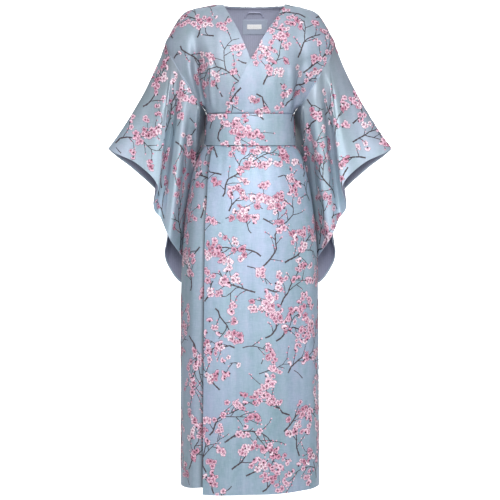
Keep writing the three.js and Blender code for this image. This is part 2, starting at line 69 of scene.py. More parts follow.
# z, half widths left and right, depth of front and back at the middle, depths at the edge, rounding at the edge
SECTIONS = [
    (3, 79, 100, -14, 52, 10, 10, 0.45),
    (-5, 126, 130, -24, 60, 10, 10, 0.45),
    (-11, 160, 163, -30, 66, 10, 10, 0.45),
    (-22, 191, 193, -40, 73, 10, 10, 0.45),
    (-52, 217, 218, -62, 86, 10, 10, 0.45),
    (-84, 235, 236, -79, 96, 10, 10, 0.46),
    (-119, 252, 252, -90, 102, 10, 10, 0.5),
    (-134, 244, 244, -94, 103, -10, 30, 0.6),
    (-152, 233, 235, -97, 103, -27, 45, 0.75),
    (-178, 218, 220, -102, 103, -42, 58, 1),
    (-213, 198, 201, -105, 101, -50, 65, 1),
    (-245, 176, 180, -104, 98, -47, 62, 1),
    (-279, 155, 160, -101, 95, -34, 46, 0.8),
    (-300, 141, 144, -98.5, 93, -18, 25, 0.6),
    (-315, 131, 132, -97, 92, 1, 1, 0.46),
    (-317.4, 130.2, 131, -96.8, 92, 1, 1, 0.46),
    (-320.6, 129.3, 129.7, -91.5, 87, 1, 1, 0.46),  # the cloth folds in where it meets the sash
    (-322.6, 121, 121, -92, 88.5, 1, 1, 0.45),
    (-368, 124, 124, -93.5, 90, 1, 1, 0.45),
    (-412.6, 127.2, 127.2, -94.6, 91.2, 1, 1, 0.45),
    (-415.2, 133.6, 133.8, -93.5, 90, 1, 1, 0.45),
    (-418, 136.4, 136.8, -98.4, 95, 1, 1, 0.45),
    (-421, 138, 139, -100, 97, 1, 1, 0.45),
    (-443, 150, 153, -106, 106, 1, 1, 0.45),
    (-487, 168, 168, -116, 122, 1, 1, 0.45),
    (-552, 181, 180, -124, 134, 1, 1, 0.45),
    (-620, 192, 190, -128, 138, 1, 1, 0.45),
    (-745, 202, 200, -132, 139, 1, 1, 0.45),
    (-873, 206, 203, -136, 140, 1, 1, 0.45),
    (HEM, 208, 208, -145, 142, 1, 1, 0.45),
]
OVER_EDGE = [(2, 102), (-9, 98.5), (-18, 92), (-49, 72.6), (-79, 51.6), (-109, 33), (-138, 17.5), (-164, 1.5),
             (-216, -26), (-282, -55.5), (-315, -70), (-368, -90), (-416, -107), (-500, -119),
             (-576, -123), (-648, -127), (-790, -129), (HEM, -135)]
UNDER_EDGE = [(2, -79), (-22, -65.5), (-79, -33.6), (-109, -20.3), (-138, -8), (-164, 1.8), (-315, 58), (-416, 66), (-552, 72), (HEM, UNDER_REACH)]
# z, where the armpit's valley lies on the left and the right of the picture, its depths, its breadth
ARMPIT = [(-70, -162, 152, 0, 0, 16), (-130, -157, 150, 13, 2, 16), (-200, -150, 148, 22, 10, 16),
          (-270, -140, 143, 20, 15, 13), (-315, -128, 130, 0, 0, 10)]
# half, share of the way round, depth, breadth, top, foot
SKIRT_FOLDS = [("front", 0.8, 3, 0.09, -430, HEM), ("front", -0.86, 4, 0.08, -430, -1300),
               ("back", 0.55, -7, 0.12, -470, HEM), ("back", -0.5, -8, 0.13, -460, HEM), ("back", 0.05, 5, 0.12, -520, HEM)]
# share of the way round, height on the armhole, point on the cuff, bow, swelling near the armhole
SLEEVE = [
    (0.0, -119, 421, 5, -424, -30, 0, 0, 0),
    (0.04, -123, 399, -9, -437, -28, -6, 0, 0),
    (0.12, -138, 334, -25, -468, -14, -8, 0, 0),
    (0.215, -160, 273, -36, -532, 0, -8, 0, 0),
    (0.265, -178, 285, -8, -597, 0, 4, 0, 0),
    (0.31, -195, 268, 12, -628, 0, 26, 0, 0),
    (0.38, -236, 239, -12, -690, 2, -6, 0, -6),
    (0.44, -280, 205, 47, -747, 2, 46, -2, -12),
    (0.47, -300, 187, 78, -792, 4, 88, 2, -44),
    (0.5, -315, 168, 112, -836, 8, 88, -9, 32),
    (0.55, -294, 212, 122, -832, 6, 84, 0, 10),
    (0.6, -270, 244, 118, -792, 4, 64, 0, 0),
    (0.66, -245, 260, 104, -743, 0, 40, 0, 0),
    (0.73, -218, 248, 76, -676, 0, 14, 0, 0),
    (0.8, -190, 262, 66, -600, 0, 26, 0, 0),
    (0.86, -166, 279, 44, -551, 0, 14, 0, 0),
    (0.92, -142, 352, 30, -482, -14, 8, 0, 0),
    (0.965, -125, 397, 17, -447, -28, 5, 0, 0),
]
NEAR = 0.1
SASH_SECTIONS = [(SASH_TOP, 129.5, -101, 98), (SASH_FOOT, 135, -103, 100)]
NECK_MIDDLE, NECK_DIP = 13, 2


# ---------------------------------------------------------------- curves from tables
def through(table, column):
    """A curve through a table's rows that never overshoots them; column 0 is the key."""
    rows = sorted(table, key=lambda r: r[0])
    k = np.array([r[0] for r in rows], float)
    f = np.array([r[column] for r in rows], float)
    d = np.diff(f) / np.diff(k)
    m = np.empty_like(f)
    m[0], m[-1] = d[0], d[-1]
    for i in range(1, len(f) - 1):
        m[i] = 0 if d[i - 1] * d[i] <= 0 else 2 * d[i - 1] * d[i] / (d[i - 1] + d[i])

    def at(x):
        x = np.clip(np.asarray(x, float), k[0], k[-1])
        i = np.clip(np.searchsorted(k, x, side="left") - 1, 0, len(k) - 2)
        h = k[i + 1] - k[i]
        t = (x - k[i]) / h
        return (f[i] * (1 + 2 * t) * (1 - t) ** 2 + m[i] * h * t * (1 - t) ** 2
                + f[i + 1] * t * t * (3 - 2 * t) + m[i + 1] * h * t * t * (t - 1))

    return at


def around(table, column):
    """The same for a table that closes on itself, with its key from 0 to 1."""
    k = np.array([r[0] + turn for turn in (-1, 0, 1) for r in table], float)
    f = np.array([r[column] for _ in range(3) for r in table], float)
    m = np.zeros_like(f)
    m[1:-1] = (f[2:] - f[:-2]) / (k[2:] - k[:-2])

    def at(v):
        v = np.asarray(v, float)
        i = np.clip(np.searchsorted(k, v, side="left") - 1, 1, len(k) - 3)
        h = k[i + 1] - k[i]
        t = (v - k[i]) / h
        return (f[i] * (1 + 2 * t) * (1 - t) ** 2 + m[i] * h * t * (1 - t) ** 2
                + f[i + 1] * t * t * (3 - 2 * t) + m[i + 1] * h * t * t * (t - 1))

    return at


LEFT, RIGHT, FRONT, BACK, EDGE_F, EDGE_B, ROUND = [through(SECTIONS, c) for c in range(1, 8)]
PIT_L, PIT_R, PIT_DEEP_L, PIT_DEEP_R, PIT_BROAD = [through(ARMPIT, c) for c in range(1, 6)]
over_edge, under_edge = through(OVER_EDGE, 1), through(UNDER_EDGE, 1)
FROM, CUFF_X, CUFF_Y, CUFF_Z, BOW_X, BOW_Y, NEAR_X, NEAR_Y = [around(SLEEVE, c) for c in range(1, 9)]


def bell(t):
    return np.exp(-(t * t))


def smooth(t):
    c = np.clip(t, 0, 1)
    return c * c * (3 - 2 * c)


def body_point(half, share, z):
    """The front or back at height z, a share of the way from the middle (0) to the side (-1 or 1)."""
    share, z = np.broadcast_arrays(np.asarray(share, float), np.asarray(z, float))
    wide = np.where(share < 0, LEFT(z), RIGHT(z))
    angle = np.abs(share) * math.pi / 2
    x = np.sign(share) * wide * np.sin(angle) ** (2 / SQUARE)
    middle, edge = (FRONT(z), EDGE_F(z)) if half == "front" else (BACK(z), EDGE_B(z))
    y = edge + (middle - edge) * np.maximum(0, np.cos(angle)) ** (2 * ROUND(z))
    if half == "front":
        valley = np.minimum(1, (1 - np.abs(share)) * 6) * ((z > UNDERARM) & (z < -70))
        y = y + valley * PIT_DEEP_L(z) * bell((x - PIT_L(z)) / PIT_BROAD(z))
        y = y + valley * PIT_DEEP_R(z) * bell((x - PIT_R(z)) / PIT_BROAD(z))
    for which, at, deep, broad, top, foot in SKIRT_FOLDS:
        if which == half:
            y = y + ((1 if half == "front" else -1) * deep * bell((share - at) / broad) * smooth((top - z) / 200)
                     * (1 - 0.4 * smooth((top - z) / (top - foot))))
    return np.stack([x, y, z], -1)


def share_of(x, z):
    x, z = np.broadcast_arrays(np.asarray(x, float), np.asarray(z, float))
    wide = np.where(x < 0, LEFT(z), RIGHT(z))
    return np.sign(x) * 2 * np.arcsin(np.minimum(1, np.abs(x) / wide) ** (SQUARE / 2)) / math.pi


def sleeve_point(side, v, w):
    """v of the way round and w of the way from the armhole to the cuff; side is 1 or -1."""
    v, w = np.broadcast_arrays(np.asarray(v, float), np.asarray(w, float))
    z = np.clip(FROM(v), UNDERARM, SHOULDER_TIP)
    a = np.where((v < 0.5)[..., None], body_point("front", side, z), body_point("back", side, z))
    c = np.stack([side * CUFF_X(v), CUFF_Y(v), CUFF_Z(v)], -1)
    bow = 2 * w * (1 - w)
    p = a + (c - a) * w[..., None]
    near = ((w / NEAR) * np.exp(1 - w / NEAR)) ** 1.5
    p[..., 0] += side * (bow * BOW_X(v) + near * NEAR_X(v))
    p[..., 1] += bow * BOW_Y(v) + near * NEAR_Y(v)
    return p


# ---------------------------------------------------------------- walls of cloth
def normals(P, closed, outward):
    """The normal at each point of a grid, rows by columns."""
    if closed:
        across = np.roll(P, -1, 1) - np.roll(P, 1, 1)
    else:
        across = np.empty_like(P)
        across[:, 1:-1] = P[:, 2:] - P[:, :-2]
        across[:, 0], across[:, -1] = P[:, 1] - P[:, 0], P[:, -1] - P[:, -2]
    down = np.empty_like(P)
    down[1:-1] = P[2:] - P[:-2]
    down[0], down[-1] = P[1] - P[0], P[-1] - P[-2]
    n = np.cross(across, down) * outward
    return n / np.maximum(np.linalg.norm(n, axis=-1, keepdims=True), 1e-9)


def make_object(name, verts_mm, faces, mats, face_mats=None, smooth_angle=50):
    me = bpy.data.meshes.new(name)
    me.from_pydata((np.asarray(verts_mm) * MM).tolist(), [], faces if isinstance(faces, list) else faces.tolist())
    for m in mats:
        me.materials.append(m)
    if face_mats is not None:
        me.polygons.foreach_set("material_index", np.asarray(face_mats, np.int32))
    me.polygons.foreach_set("use_smooth", np.ones(len(me.polygons), bool))
    me.validate()
    me.update()
    if smooth_angle:
        me.set_sharp_from_angle(angle=math.radians(smooth_angle))
    o = bpy.data.objects.new(name, me)
    bpy.context.scene.collection.objects.link(o)
    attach(o, "root")
    return o


def drawn_in(P, by, reach=8.0):
    """The grid with its first column moved inwards by so much, and the next ones less and less."""
    d = np.diff(P, axis=1)
    gap = np.maximum(np.linalg.norm(d, axis=2), 1e-9)
    way = d / gap[..., None]
    way = np.concatenate([way, way[:, -1:]], 1)
    far = np.concatenate([np.zeros((len(P), 1)), np.cumsum(gap, 1)], 1)
    return P + way * (by * np.clip(1 - far / reach, 0, 1))[..., None]


def wall(name, P, N, inner, outer, closed, mats, round_edge=0.35, shade=None):
    """A closed wall between two offsets of a grid, with slightly rounded edges. mats: outside, inside.

    shade: painted shade, a factor at each point of the grid that darkens the satin's colour in folds and where parts
    meet."""
    rows, cols = P.shape[:2]
    by = round_edge + 0.06  # so the round edge ends just short of the seam
    if not closed:
        P = drawn_in(drawn_in(P, by)[:, ::-1], by)[:, ::-1]
    P = P.swapaxes(0, 1)
    P = drawn_in(drawn_in(P, by)[:, ::-1], by)[:, ::-1].swapaxes(0, 1)
    inner = np.broadcast_to(np.asarray(inner, float), (rows, cols))
    outer = np.broadcast_to(np.asarray(outer, float), (rows, cols))
    out = P + N * outer[..., None]
    inn = P + N * inner[..., None]
    verts = [out.reshape(-1, 3), inn.reshape(-1, 3)]
    oi = np.arange(rows * cols).reshape(rows, cols)
    ii = oi + rows * cols
    if closed:
        oi, ii = np.concatenate([oi, oi[:, :1]], 1), np.concatenate([ii, ii[:, :1]], 1)
    quads = [np.stack([oi[:-1, :-1], oi[1:, :-1], oi[1:, 1:], oi[:-1, 1:]], -1).reshape(-1, 4),
             np.stack([ii[:-1, :-1], ii[:-1, 1:], ii[1:, 1:], ii[1:, :-1]], -1).reshape(-1, 4)]
    count = 2 * rows * cols

    def border(o_line, i_line, o_pts, i_pts, away, ring):
        # the edge of the wall: a middle row pushed out a little, so that the edge is round
        nonlocal count
        mid = (o_pts + i_pts) / 2 + away * round_edge
        verts.append(mid)
        mi = np.arange(count, count + len(mid))
        count += len(mid)
        if ring:
            mi = np.append(mi, mi[:1])
        for a, b in ((o_line, mi), (mi, i_line)):
            quads.append(np.stack([a[:-1], a[1:], b[1:], b[:-1]], -1))

    def unit(d):
        return d / np.maximum(np.linalg.norm(d, axis=-1, keepdims=True), 1e-9)

    border(oi[0], ii[0], out[0], inn[0], unit(P[0] - P[1]), closed)
    border(oi[-1][::-1], ii[-1][::-1], out[-1][::-1] if not closed else np.roll(out[-1][::-1], 1, 0),
           inn[-1][::-1] if not closed else np.roll(inn[-1][::-1], 1, 0),
           unit((P[-1] - P[-2])[::-1] if not closed else np.roll((P[-1] - P[-2])[::-1], 1, 0)), closed)
    if not closed:
        border(oi[:, 0][::-1], ii[:, 0][::-1], out[:, 0][::-1], inn[:, 0][::-1], unit((P[:, 0] - P[:, 1])[::-1]), False)
        border(oi[:, -1], ii[:, -1], out[:, -1], inn[:, -1], unit(P[:, -1] - P[:, -2]), False)
    V = np.concatenate(verts)
    F = np.concatenate(quads)
    if not closed:  # the two side borders and the end borders share their corners' middle points
        first = 2 * rows * cols
        c = cols
        top0, top1 = first, first + c - 1
        end0, end1 = first + c, first + 2 * c - 1  # the end border runs backwards
        left0, left1 = first + 2 * c, first + 2 * c + rows - 1  # backwards
        right0, right1 = first + 2 * c + rows, first + 2 * c + 2 * rows - 1
        same = {left1: top0, left0: end1, right0: top1, right1: end0}
        for a, b in same.items():
            V[b] = (V[a] + V[b]) / 2
            F[F == a] = b
        keep = np.ones(len(V), bool)
        keep[list(same)] = False
        new = np.cumsum(keep) - 1
        V, F = V[keep], new[F]
    vol = np.einsum("ij,ij->i", V[F[:, 0]], np.cross(V[F[:, 1]], V[F[:, 2]])).sum()
    vol += np.einsum("ij,ij->i", V[F[:, 0]], np.cross(V[F[:, 2]], V[F[:, 3]])).sum()
    if vol < 0:
        F = F[:, ::-1]
    fm = np.zeros(len(F), int)
    n_side = (rows - 1) * (oi.shape[1] - 1)
    fm[n_side:2 * n_side] = 1 if len(mats) > 1 else 0
    o = make_object(name, V, F, mats, fm)
    # painted shade: the darkening factor is stored on the outer face's points
    if shade is not None:
        values = np.ones(len(o.data.vertices))
        values[:rows * cols] = shade.reshape(-1)
        o.data.attributes.new("painted_shade", "FLOAT", "POINT").data.foreach_set("value", values)
    return o, out


def flat_size(P, closed):
    """How wide and long the cloth was cut, and its flat area, in metres."""
    across = np.linalg.norm(np.diff(np.concatenate([P, P[:, :1]], 1) if closed else P, axis=1), axis=2).sum(1).max()
    down = np.linalg.norm(np.diff(P, axis=0), axis=2).sum(0).max()
    Q = np.concatenate([P, P[:, :1]], 1) if closed else P
    a = np.cross(Q[1:, :-1] - Q[:-1, :-1], Q[:-1, 1:] - Q[:-1, :-1])
    b = np.cross(Q[1:, :-1] - Q[1:, 1:], Q[:-1, 1:] - Q[1:, 1:])
    area = (np.linalg.norm(a, axis=-1).sum() + np.linalg.norm(b, axis=-1).sum()) / 2
    return across * MM, down * MM, area * MM * MM


# ---------------------------------------------------------------- creases
# A crease is a soft trough (minus) or ridge (plus) along a line in the picture's plane: points as pixels of the
# 500 x 500 frame, depth in mm, breadth in mm.
def px(x, row):
    return (x - 250) * PX, -(row - 6) * PX


FRONT_CREASES = [
    # the deep fold at the armpit on the picture's left, with its smaller pleats
    ([(193, 52), (196, 74), (201.5, 96), (207, 113)], -5.0, 11),
    ([(200, 58), (202.5, 80), (208, 113)], 3.0, 7),
    ([(204.5, 40), (205.5, 64), (207.5, 88), (210, 113)], -3.0, 7),
    ([(210, 46), (210, 70), (211.5, 95), (213, 113)], 2.0, 8),
    ([(215.5, 56), (215, 80), (216, 113)], -1.6, 8),
    ([(188, 60), (191, 76), (198, 98), (203, 110)], 1.8, 10),
    # the softer one on the right
    ([(299, 66), (297.5, 84), (295.5, 98), (293.5, 113)], -5.0, 11),
    ([(290.5, 60), (290.5, 85), (289.5, 113)], 3.0, 9),
    ([(284, 74), (284.5, 95), (285, 113)], -1.6, 8),
    ([(305, 70), (303, 86), (299, 103), (296, 113)], 2.4, 10),
    ([(303, 20), (297, 40), (295, 62)], -1.6, 20),
    ([(316, 26), (311, 46), (309, 62)], 1.6, 18),
    # soft pulls across the chest
    ([(222, 18), (219, 44), (221, 74)], 1.8, 14),
    ([(246, 70), (238, 92), (231, 112)], 1.6, 12),
    ([(262, 64), (262, 88), (266, 113)], -1.6, 14),
    ([(272, 74), (275, 95), (277, 113)], 1.4, 9),
    ([(254, 86), (253, 100), (252, 113)], 1.0, 7),
    ([(228, 90), (225, 102), (222, 113)], -1.4, 8),
    # small gathers under the sash
    ([(214, 147), (212.5, 165), (211, 190)], 1.2, 8),
    ([(224, 147), (223, 162), (222, 178)], -1.0, 7),
    ([(236, 147), (236, 158), (236.5, 172)], 0.7, 7),
    ([(262, 147), (264, 168), (266, 200)], -1.1, 10),
    ([(276, 147), (279, 166), (282, 196)], 1.0, 9),
    ([(288, 148), (292, 168), (296, 196)], -1.4, 9),
    # long soft waves down the skirt
    ([(222, 190), (224, 300), (222, 420), (221, 494)], 2.6, 34),
    ([(247, 200), (246, 320), (249, 494)], -2.2, 38),
    ([(270, 210), (272, 330), (274, 494)], 1.8, 34),
    ([(296, 200), (300, 320), (301, 494)], -2.8, 28),
    ([(309, 190), (311, 300), (312, 490)], 1.6, 14),
]
UNDER_CREASES = [  # only on the right front, where it shows beside the left front's edge
    ([(203, 150), (198, 190), (195, 240), (194, 300), (194, 380), (193.5, 484)], 4.5, 12),
    ([(211, 150), (209.4, 165), (207.0, 200), (205.2, 240), (204.4, 300), (203.8, 400), (202.4, 486)], -9.0, 7),
    ([(196, 160), (189, 200), (186, 250), (185.5, 330)], -2.2, 11),
]
BACK_CREASES = [  # x from the wearer's right (minus) to left, as seen from the front
    ([(197, 40), (199, 70), (204, 112)], -5.0, 10),
    ([(205, 52), (206, 80), (210, 112)], 3.4, 8),
    ([(213, 60), (213, 85), (216, 112)], -2.2, 9),
    ([(301, 36), (299, 72), (295, 112)], -5.5, 11),
    ([(292, 50), (291, 82), (289, 112)], 3.2, 9),
    ([(282, 66), (283, 90), (284, 112)], -2.0, 10),
    ([(232, 70), (234, 90), (238, 112)], 1.6, 12),
    ([(262, 62), (262, 88), (262, 112)], -1.8, 13),
    ([(250, 30), (250, 60), (249, 112)], -1.4, 6),
    ([(220, 147), (217, 175), (214, 215)], -2.2, 11),
    ([(233, 147), (231, 170), (230, 205)], 1.8, 9),
    ([(246, 147), (246, 168), (245, 190)], -1.4, 9),
    ([(266, 147), (268, 172), (272, 210)], 1.8, 10),
    ([(281, 147), (285, 175), (290, 215)], -2.4, 12),
    ([(214, 200), (212, 320), (209, 482)], 4.0, 24),
    ([(236, 210), (237, 330), (236, 482)], -3.4, 30),
    ([(262, 210), (263, 330), (266, 482)], 3.6, 28),
    ([(288, 205), (291, 320), (292, 482)], -3.6, 24),
]


def crease_depth(x, z, creases):
    """The sum of the creases at points x, z of the picture's plane."""
    total = np.zeros_like(x)
    for points, depth, broad in creases:
        pts = np.array([px(*p) for p in points])
        seg = np.linalg.norm(np.diff(pts, axis=0), axis=1)
        run = np.concatenate([[0], np.cumsum(seg)])
        near = (x > pts[:, 0].min() - 4 * broad) & (x < pts[:, 0].max() + 4 * broad)
        near &= (z > pts[:, 1].min() - 4 * broad) & (z < pts[:, 1].max() + 4 * broad)
        xs, zs = x[near], z[near]
        best = np.full(xs.shape, 1e9)
        where = np.zeros(xs.shape)
        for k in range(len(pts) - 1):
            a, d = pts[k], pts[k + 1] - pts[k]
            t = np.clip(((xs - a[0]) * d[0] + (zs - a[1]) * d[1]) / (d @ d), 0, 1)
            dist = np.hypot(xs - a[0] - t * d[0], zs - a[1] - t * d[1])
            closer = dist < best
            best[closer] = dist[closer]
            where[closer] = (run[k] + t * seg[k])[closer]
        s = where / run[-1]
        ends = smooth(s / 0.3) * smooth((1 - s) / 0.12) if points[-1][1] < 300 else smooth(s / 0.3)
        total[near] += depth * bell(best / broad) * ends
    return total


rng = np.random.default_rng(20)
WAVES = [(rng.uniform(0.004, 0.018), rng.uniform(0, 2 * math.pi), rng.uniform(0, 2 * math.pi), rng.uniform(0.2, 1))
         for _ in range(14)]


def rumple(P, amount):
    """Very soft unevenness, so that no stretch of the cloth is perfectly true."""
    d = np.zeros(P.shape[:-1])
    for f, a, b, s in WAVES:
        d += s * np.sin(2 * math.pi * f * (P[..., 0] * math.cos(a) + P[..., 1] * 0.7 * math.sin(b) + P[..., 2] * 0.45 * math.sin(a)) + b)
    return d * amount / 3


# ---------------------------------------------------------------- materials
def srgb(r, g, b):
    def lin(c):
        c /= 255
        return c / 12.92 if c <= 0.04045 else ((c + 0.055) / 1.055) ** 2.4

    return (lin(r), lin(g), lin(b), 1)


class Tree:
    """Small helper for writing node trees."""

    def __init__(self, name):
        self.mat = bpy.data.materials.new(name)
        self.mat.use_nodes = True
        self.t = self.mat.node_tree
        self.t.nodes.clear()
        self.out = self.t.nodes.new("ShaderNodeOutputMaterial")
        self.b = self.t.nodes.new("ShaderNodeBsdfPrincipled")
        self.link(self.b.outputs[0], self.out.inputs[0])

    def link(self, a, b):
        self.t.links.new(a, b)

    def new(self, kind, **settings):
        n = self.t.nodes.new(kind)
        for k, v in settings.items():
            setattr(n, k, v)
        return n

    def put(self, node, **values):
        for k, v in values.items():
            node.inputs[k.replace("_", " ")].default_value = v
        return node

    def coords(self, scale=(1, 1, 1)):
        if not hasattr(self, "_tc"):
            self._tc = self.new("ShaderNodeTexCoord")
        m = self.new("ShaderNodeMapping")
        m.inputs["Scale"].default_value = scale
        self.link(self._tc.outputs["Object"], m.inputs["Vector"])
        return m.outputs[0]

    def noise(self, scale, detail=2, rough=0.5, stretch=(1, 1, 1), distortion=0):
        n = self.new("ShaderNodeTexNoise")
        self.put(n, Scale=scale, Detail=detail, Roughness=rough, Distortion=distortion)
        self.link(self.coords(stretch), n.inputs["Vector"])
        return n.outputs["Fac"]

    def ramp(self, fac, stops, interpolation="LINEAR"):
        r = self.new("ShaderNodeValToRGB")
        r.color_ramp.interpolation = interpolation
        while len(r.color_ramp.elements) < len(stops):
            r.color_ramp.elements.new(0.5)
        for e, (at, c) in zip(r.color_ramp.elements, stops):
            e.position, e.color = at, c
        self.link(fac, r.inputs[0])
        return r.outputs[0]

    def mix(self, fac, a, b, kind="MIX"):
        m = self.new("ShaderNodeMix", data_type="RGBA", blend_type=kind)
        for socket, v in ((m.inputs[0], fac), (m.inputs[6], a), (m.inputs[7], b)):
            if isinstance(v, (int, float, tuple)):
                socket.default_value = v
            else:
                self.link(v, socket)
        return m.outputs[2]

    def math(self, op, a, b=0.5, c=None):
        m = self.new("ShaderNodeMath", operation=op)
        for k, v in enumerate((a, b, c)):
            if v is None:
                continue
            if isinstance(v, (int, float)):
                m.inputs[k].default_value = v
            else:
                self.link(v, m.inputs[k])
        return m.outputs[0]

    def bump(self, height, strength, distance, normal=None):
        n = self.new("ShaderNodeBump")
        self.put(n, Strength=strength, Distance=distance)
        self.link(height, n.inputs["Height"])
        if normal is not None:
            self.link(normal, n.inputs["Normal"])
        return n.outputs[0]


def satin_material(name, lightness=1.0, roughness=0.4, grey=0.0, upper=0.0, fade=None, folds=False):
    """Pale blue satin with a shot of lilac and teal, fine warp threads and a soft uneven sheen.

    grey: how far it goes towards grey all over, painted light for a piece in shade and for pale highlights; upper: how
    much further at the shoulders, a painted pale sheen; fade: two heights and the painted brightness at each, painted
    shade that changes with height."""
    s = Tree(name)
    cloud = s.noise(5.0, 3, 0.55, (1, 1, 0.55), 0.5)
    tint = s.ramp(cloud, [(0.30, srgb(126, 166, 178)), (0.42, srgb(146, 180, 198)), (0.54, srgb(166, 187, 217)),
                          (0.64, srgb(172, 184, 222)), (0.74, srgb(138, 172, 182))])
    fine = s.noise(34, 3, 0.62, (1, 1, 0.7))
    shot = s.ramp(fine, [(0.25, srgb(118, 160, 168)), (0.42, srgb(148, 178, 198)), (0.58, srgb(166, 186, 214)),
                         (0.75, srgb(192, 190, 222))])
    colour = s.mix(0.46, tint, shot)
    warp = s.noise(900, 1, 0.5, (1, 1, 0.06))
    weft = s.noise(700, 1, 0.5, (0.08, 0.08, 1))
    threads = s.math("MULTIPLY", warp, weft)
    colour = s.mix(0.22, colour, s.ramp(threads, [(0.12, srgb(112, 136, 156)), (0.4, srgb(190, 206, 224))]))
    slub = s.noise(60, 2, 0.5, (1, 1, 0.02))
    colour = s.mix(0.13, colour, s.ramp(slub, [(0.35, srgb(128, 150, 168)), (0.65, srgb(192, 206, 222))]))
    # painted light: the satin goes grey all over and more so towards the shoulders, with soft blotches
    if grey or upper:
        sep = s.new("ShaderNodeSeparateXYZ")
        s.link(s.coords(), sep.inputs[0])
        high = s.new("ShaderNodeMapRange")
        s.put(high, From_Min=-0.42, From_Max=-0.05, To_Min=grey, To_Max=grey + upper)
        s.link(sep.outputs["Z"], high.inputs["Value"])
        blotch = s.noise(9, 2, 0.5, (1, 1, 0.7))
        colour = s.mix(s.math("MULTIPLY", high.outputs["Result"], s.math("MULTIPLY_ADD", blotch, 0.8, 0.6)), colour,
                       srgb(158, 164, 168))
    colour = s.mix(1.0, colour, (0.98 * lightness, 0.96 * lightness, 0.945 * lightness, 1), "MULTIPLY")
    # painted shade: the colour darkens or lightens with height
    if fade:
        low, high, at_low, at_high = fade
        sep = s.new("ShaderNodeSeparateXYZ")
        s.link(s.coords(), sep.inputs[0])
        f = s.new("ShaderNodeMapRange", interpolation_type="SMOOTHSTEP")
        s.put(f, From_Min=low, From_Max=high, To_Min=at_low, To_Max=at_high)
        s.link(sep.outputs["Z"], f.inputs["Value"])
        colour = s.mix(1.0, colour, f.outputs["Result"], "MULTIPLY")
    if folds:  # painted shade: a factor stored on the mesh's points darkens the colour in folds and where parts meet
        a = s.new("ShaderNodeAttribute", attribute_name="painted_shade", attribute_type="GEOMETRY")
        colour = s.mix(1.0, colour, a.outputs["Fac"], "MULTIPLY")
    s.link(colour, s.b.inputs["Base Color"])
    rough = s.noise(14, 2, 0.5, (1, 1, 0.5))
    s.link(s.math("MULTIPLY_ADD", rough, 0.14, roughness - 0.07), s.b.inputs["Roughness"])
    s.put(s.b, IOR=1.5, Metallic=0.3)
    s.b.inputs["Specular IOR Level"].default_value = 0.6
    crumple = s.bump(s.noise(26, 3, 0.5, (1, 1, 0.6)), 0.3, 0.0018)
    s.link(s.bump(threads, 0.35, 0.00025, crumple), s.b.inputs["Normal"])
    return s.mat


def reverse_material(name):
    """The satin's plain reverse, seen only from below and inside."""
    s = Tree(name)
    cloud = s.noise(8, 2, 0.5)
    colour = s.ramp(cloud, [(0.3, srgb(138, 156, 170)), (0.7, srgb(152, 166, 184))])
    warp = s.noise(800, 1, 0.5, (1, 1, 0.05))
    colour = s.mix(0.25, colour, s.ramp(warp, [(0.3, srgb(120, 136, 152)), (0.7, srgb(166, 180, 196))]))
    s.link(colour, s.b.inputs["Base Color"])
    s.b.inputs["Roughness"].default_value = 0.62
    s.link(s.bump(warp, 0.3, 0.0003), s.b.inputs["Normal"])
    return s.mat


def lining_material(name, light=0, stripes=0.45):
    """Slate lining with a fine vertical stripe."""
    s = Tree(name)
    cloud = s.noise(12, 2, 0.5)
    base = s.ramp(cloud, [(0.3, srgb(112 + light, 116 + light, 138 + light)), (0.7, srgb(124 + light, 127 + light, 150 + light))])
    stripe = s.new("ShaderNodeTexWave", wave_type="BANDS", bands_direction="X", wave_profile="SIN")
    s.put(stripe, Scale=52.0, Distortion=0.0)
    s.link(s.coords(), stripe.inputs["Vector"])
    lines = s.ramp(stripe.outputs["Fac"], [(0.55, (0, 0, 0, 1)), (0.8, (1, 1, 1, 1))])
    base = s.mix(s.math("MULTIPLY", lines, stripes), base, srgb(158, 162, 184))
    cross = s.noise(700, 1, 0.5, (0.2, 0.2, 1))
    base = s.mix(0.15, base, s.ramp(cross, [(0.3, srgb(96, 100, 122)), (0.7, srgb(150, 154, 176))]))
    s.link(base, s.b.inputs["Base Color"])
    s.b.inputs["Roughness"].default_value = 0.52
    s.b.inputs["Specular IOR Level"].default_value = 0.4
    s.link(s.bump(lines, 0.4, 0.0003), s.b.inputs["Normal"])
    return s.mat


def figure_material(name):
    """The woven figures: their colours, darkened by painted shade, lie in the mesh, with floats of thread that catch
    the light.
    """
    s = Tree(name)
    a = s.new("ShaderNodeAttribute", attribute_name="dye_and_painted_shade", attribute_type="GEOMETRY")
    threads = s.noise(1100, 1, 0.5, (0.25, 0.25, 1))
    shade = s.ramp(threads, [(0.3, (0.82, 0.82, 0.82, 1)), (0.7, (1.1, 1.1, 1.1, 1))])
    colour = s.mix(1.0, a.outputs["Color"], shade, "MULTIPLY")
    blot = s.noise(160, 2, 0.5)
    colour = s.mix(1.0, colour, s.ramp(blot, [(0.3, (0.88, 0.86, 0.88, 1)), (0.7, (1.08, 1.06, 1.06, 1))]), "MULTIPLY")
    s.link(colour, s.b.inputs["Base Color"])
    s.b.inputs["Roughness"].default_value = 0.5
    s.b.inputs["Specular IOR Level"].default_value = 0.45
    s.link(s.bump(threads, 0.5, 0.0003), s.b.inputs["Normal"])
    return s.mat


def plain_material(name, c, stitches=False):
    s = Tree(name)
    weave = s.noise(900, 1, 0.5, (1, 1, 0.3))
    dark = tuple(v * 0.86 for v in c[:3]) + (1,)
    s.link(s.mix(s.ramp(weave, [(0.35, (0, 0, 0, 1)), (0.65, (1, 1, 1, 1))]), dark, c), s.b.inputs["Base Color"])
    s.b.inputs["Roughness"].default_value = 0.6
    s.link(s.bump(weave, 0.4, 0.0003), s.b.inputs["Normal"])
    return s.mat
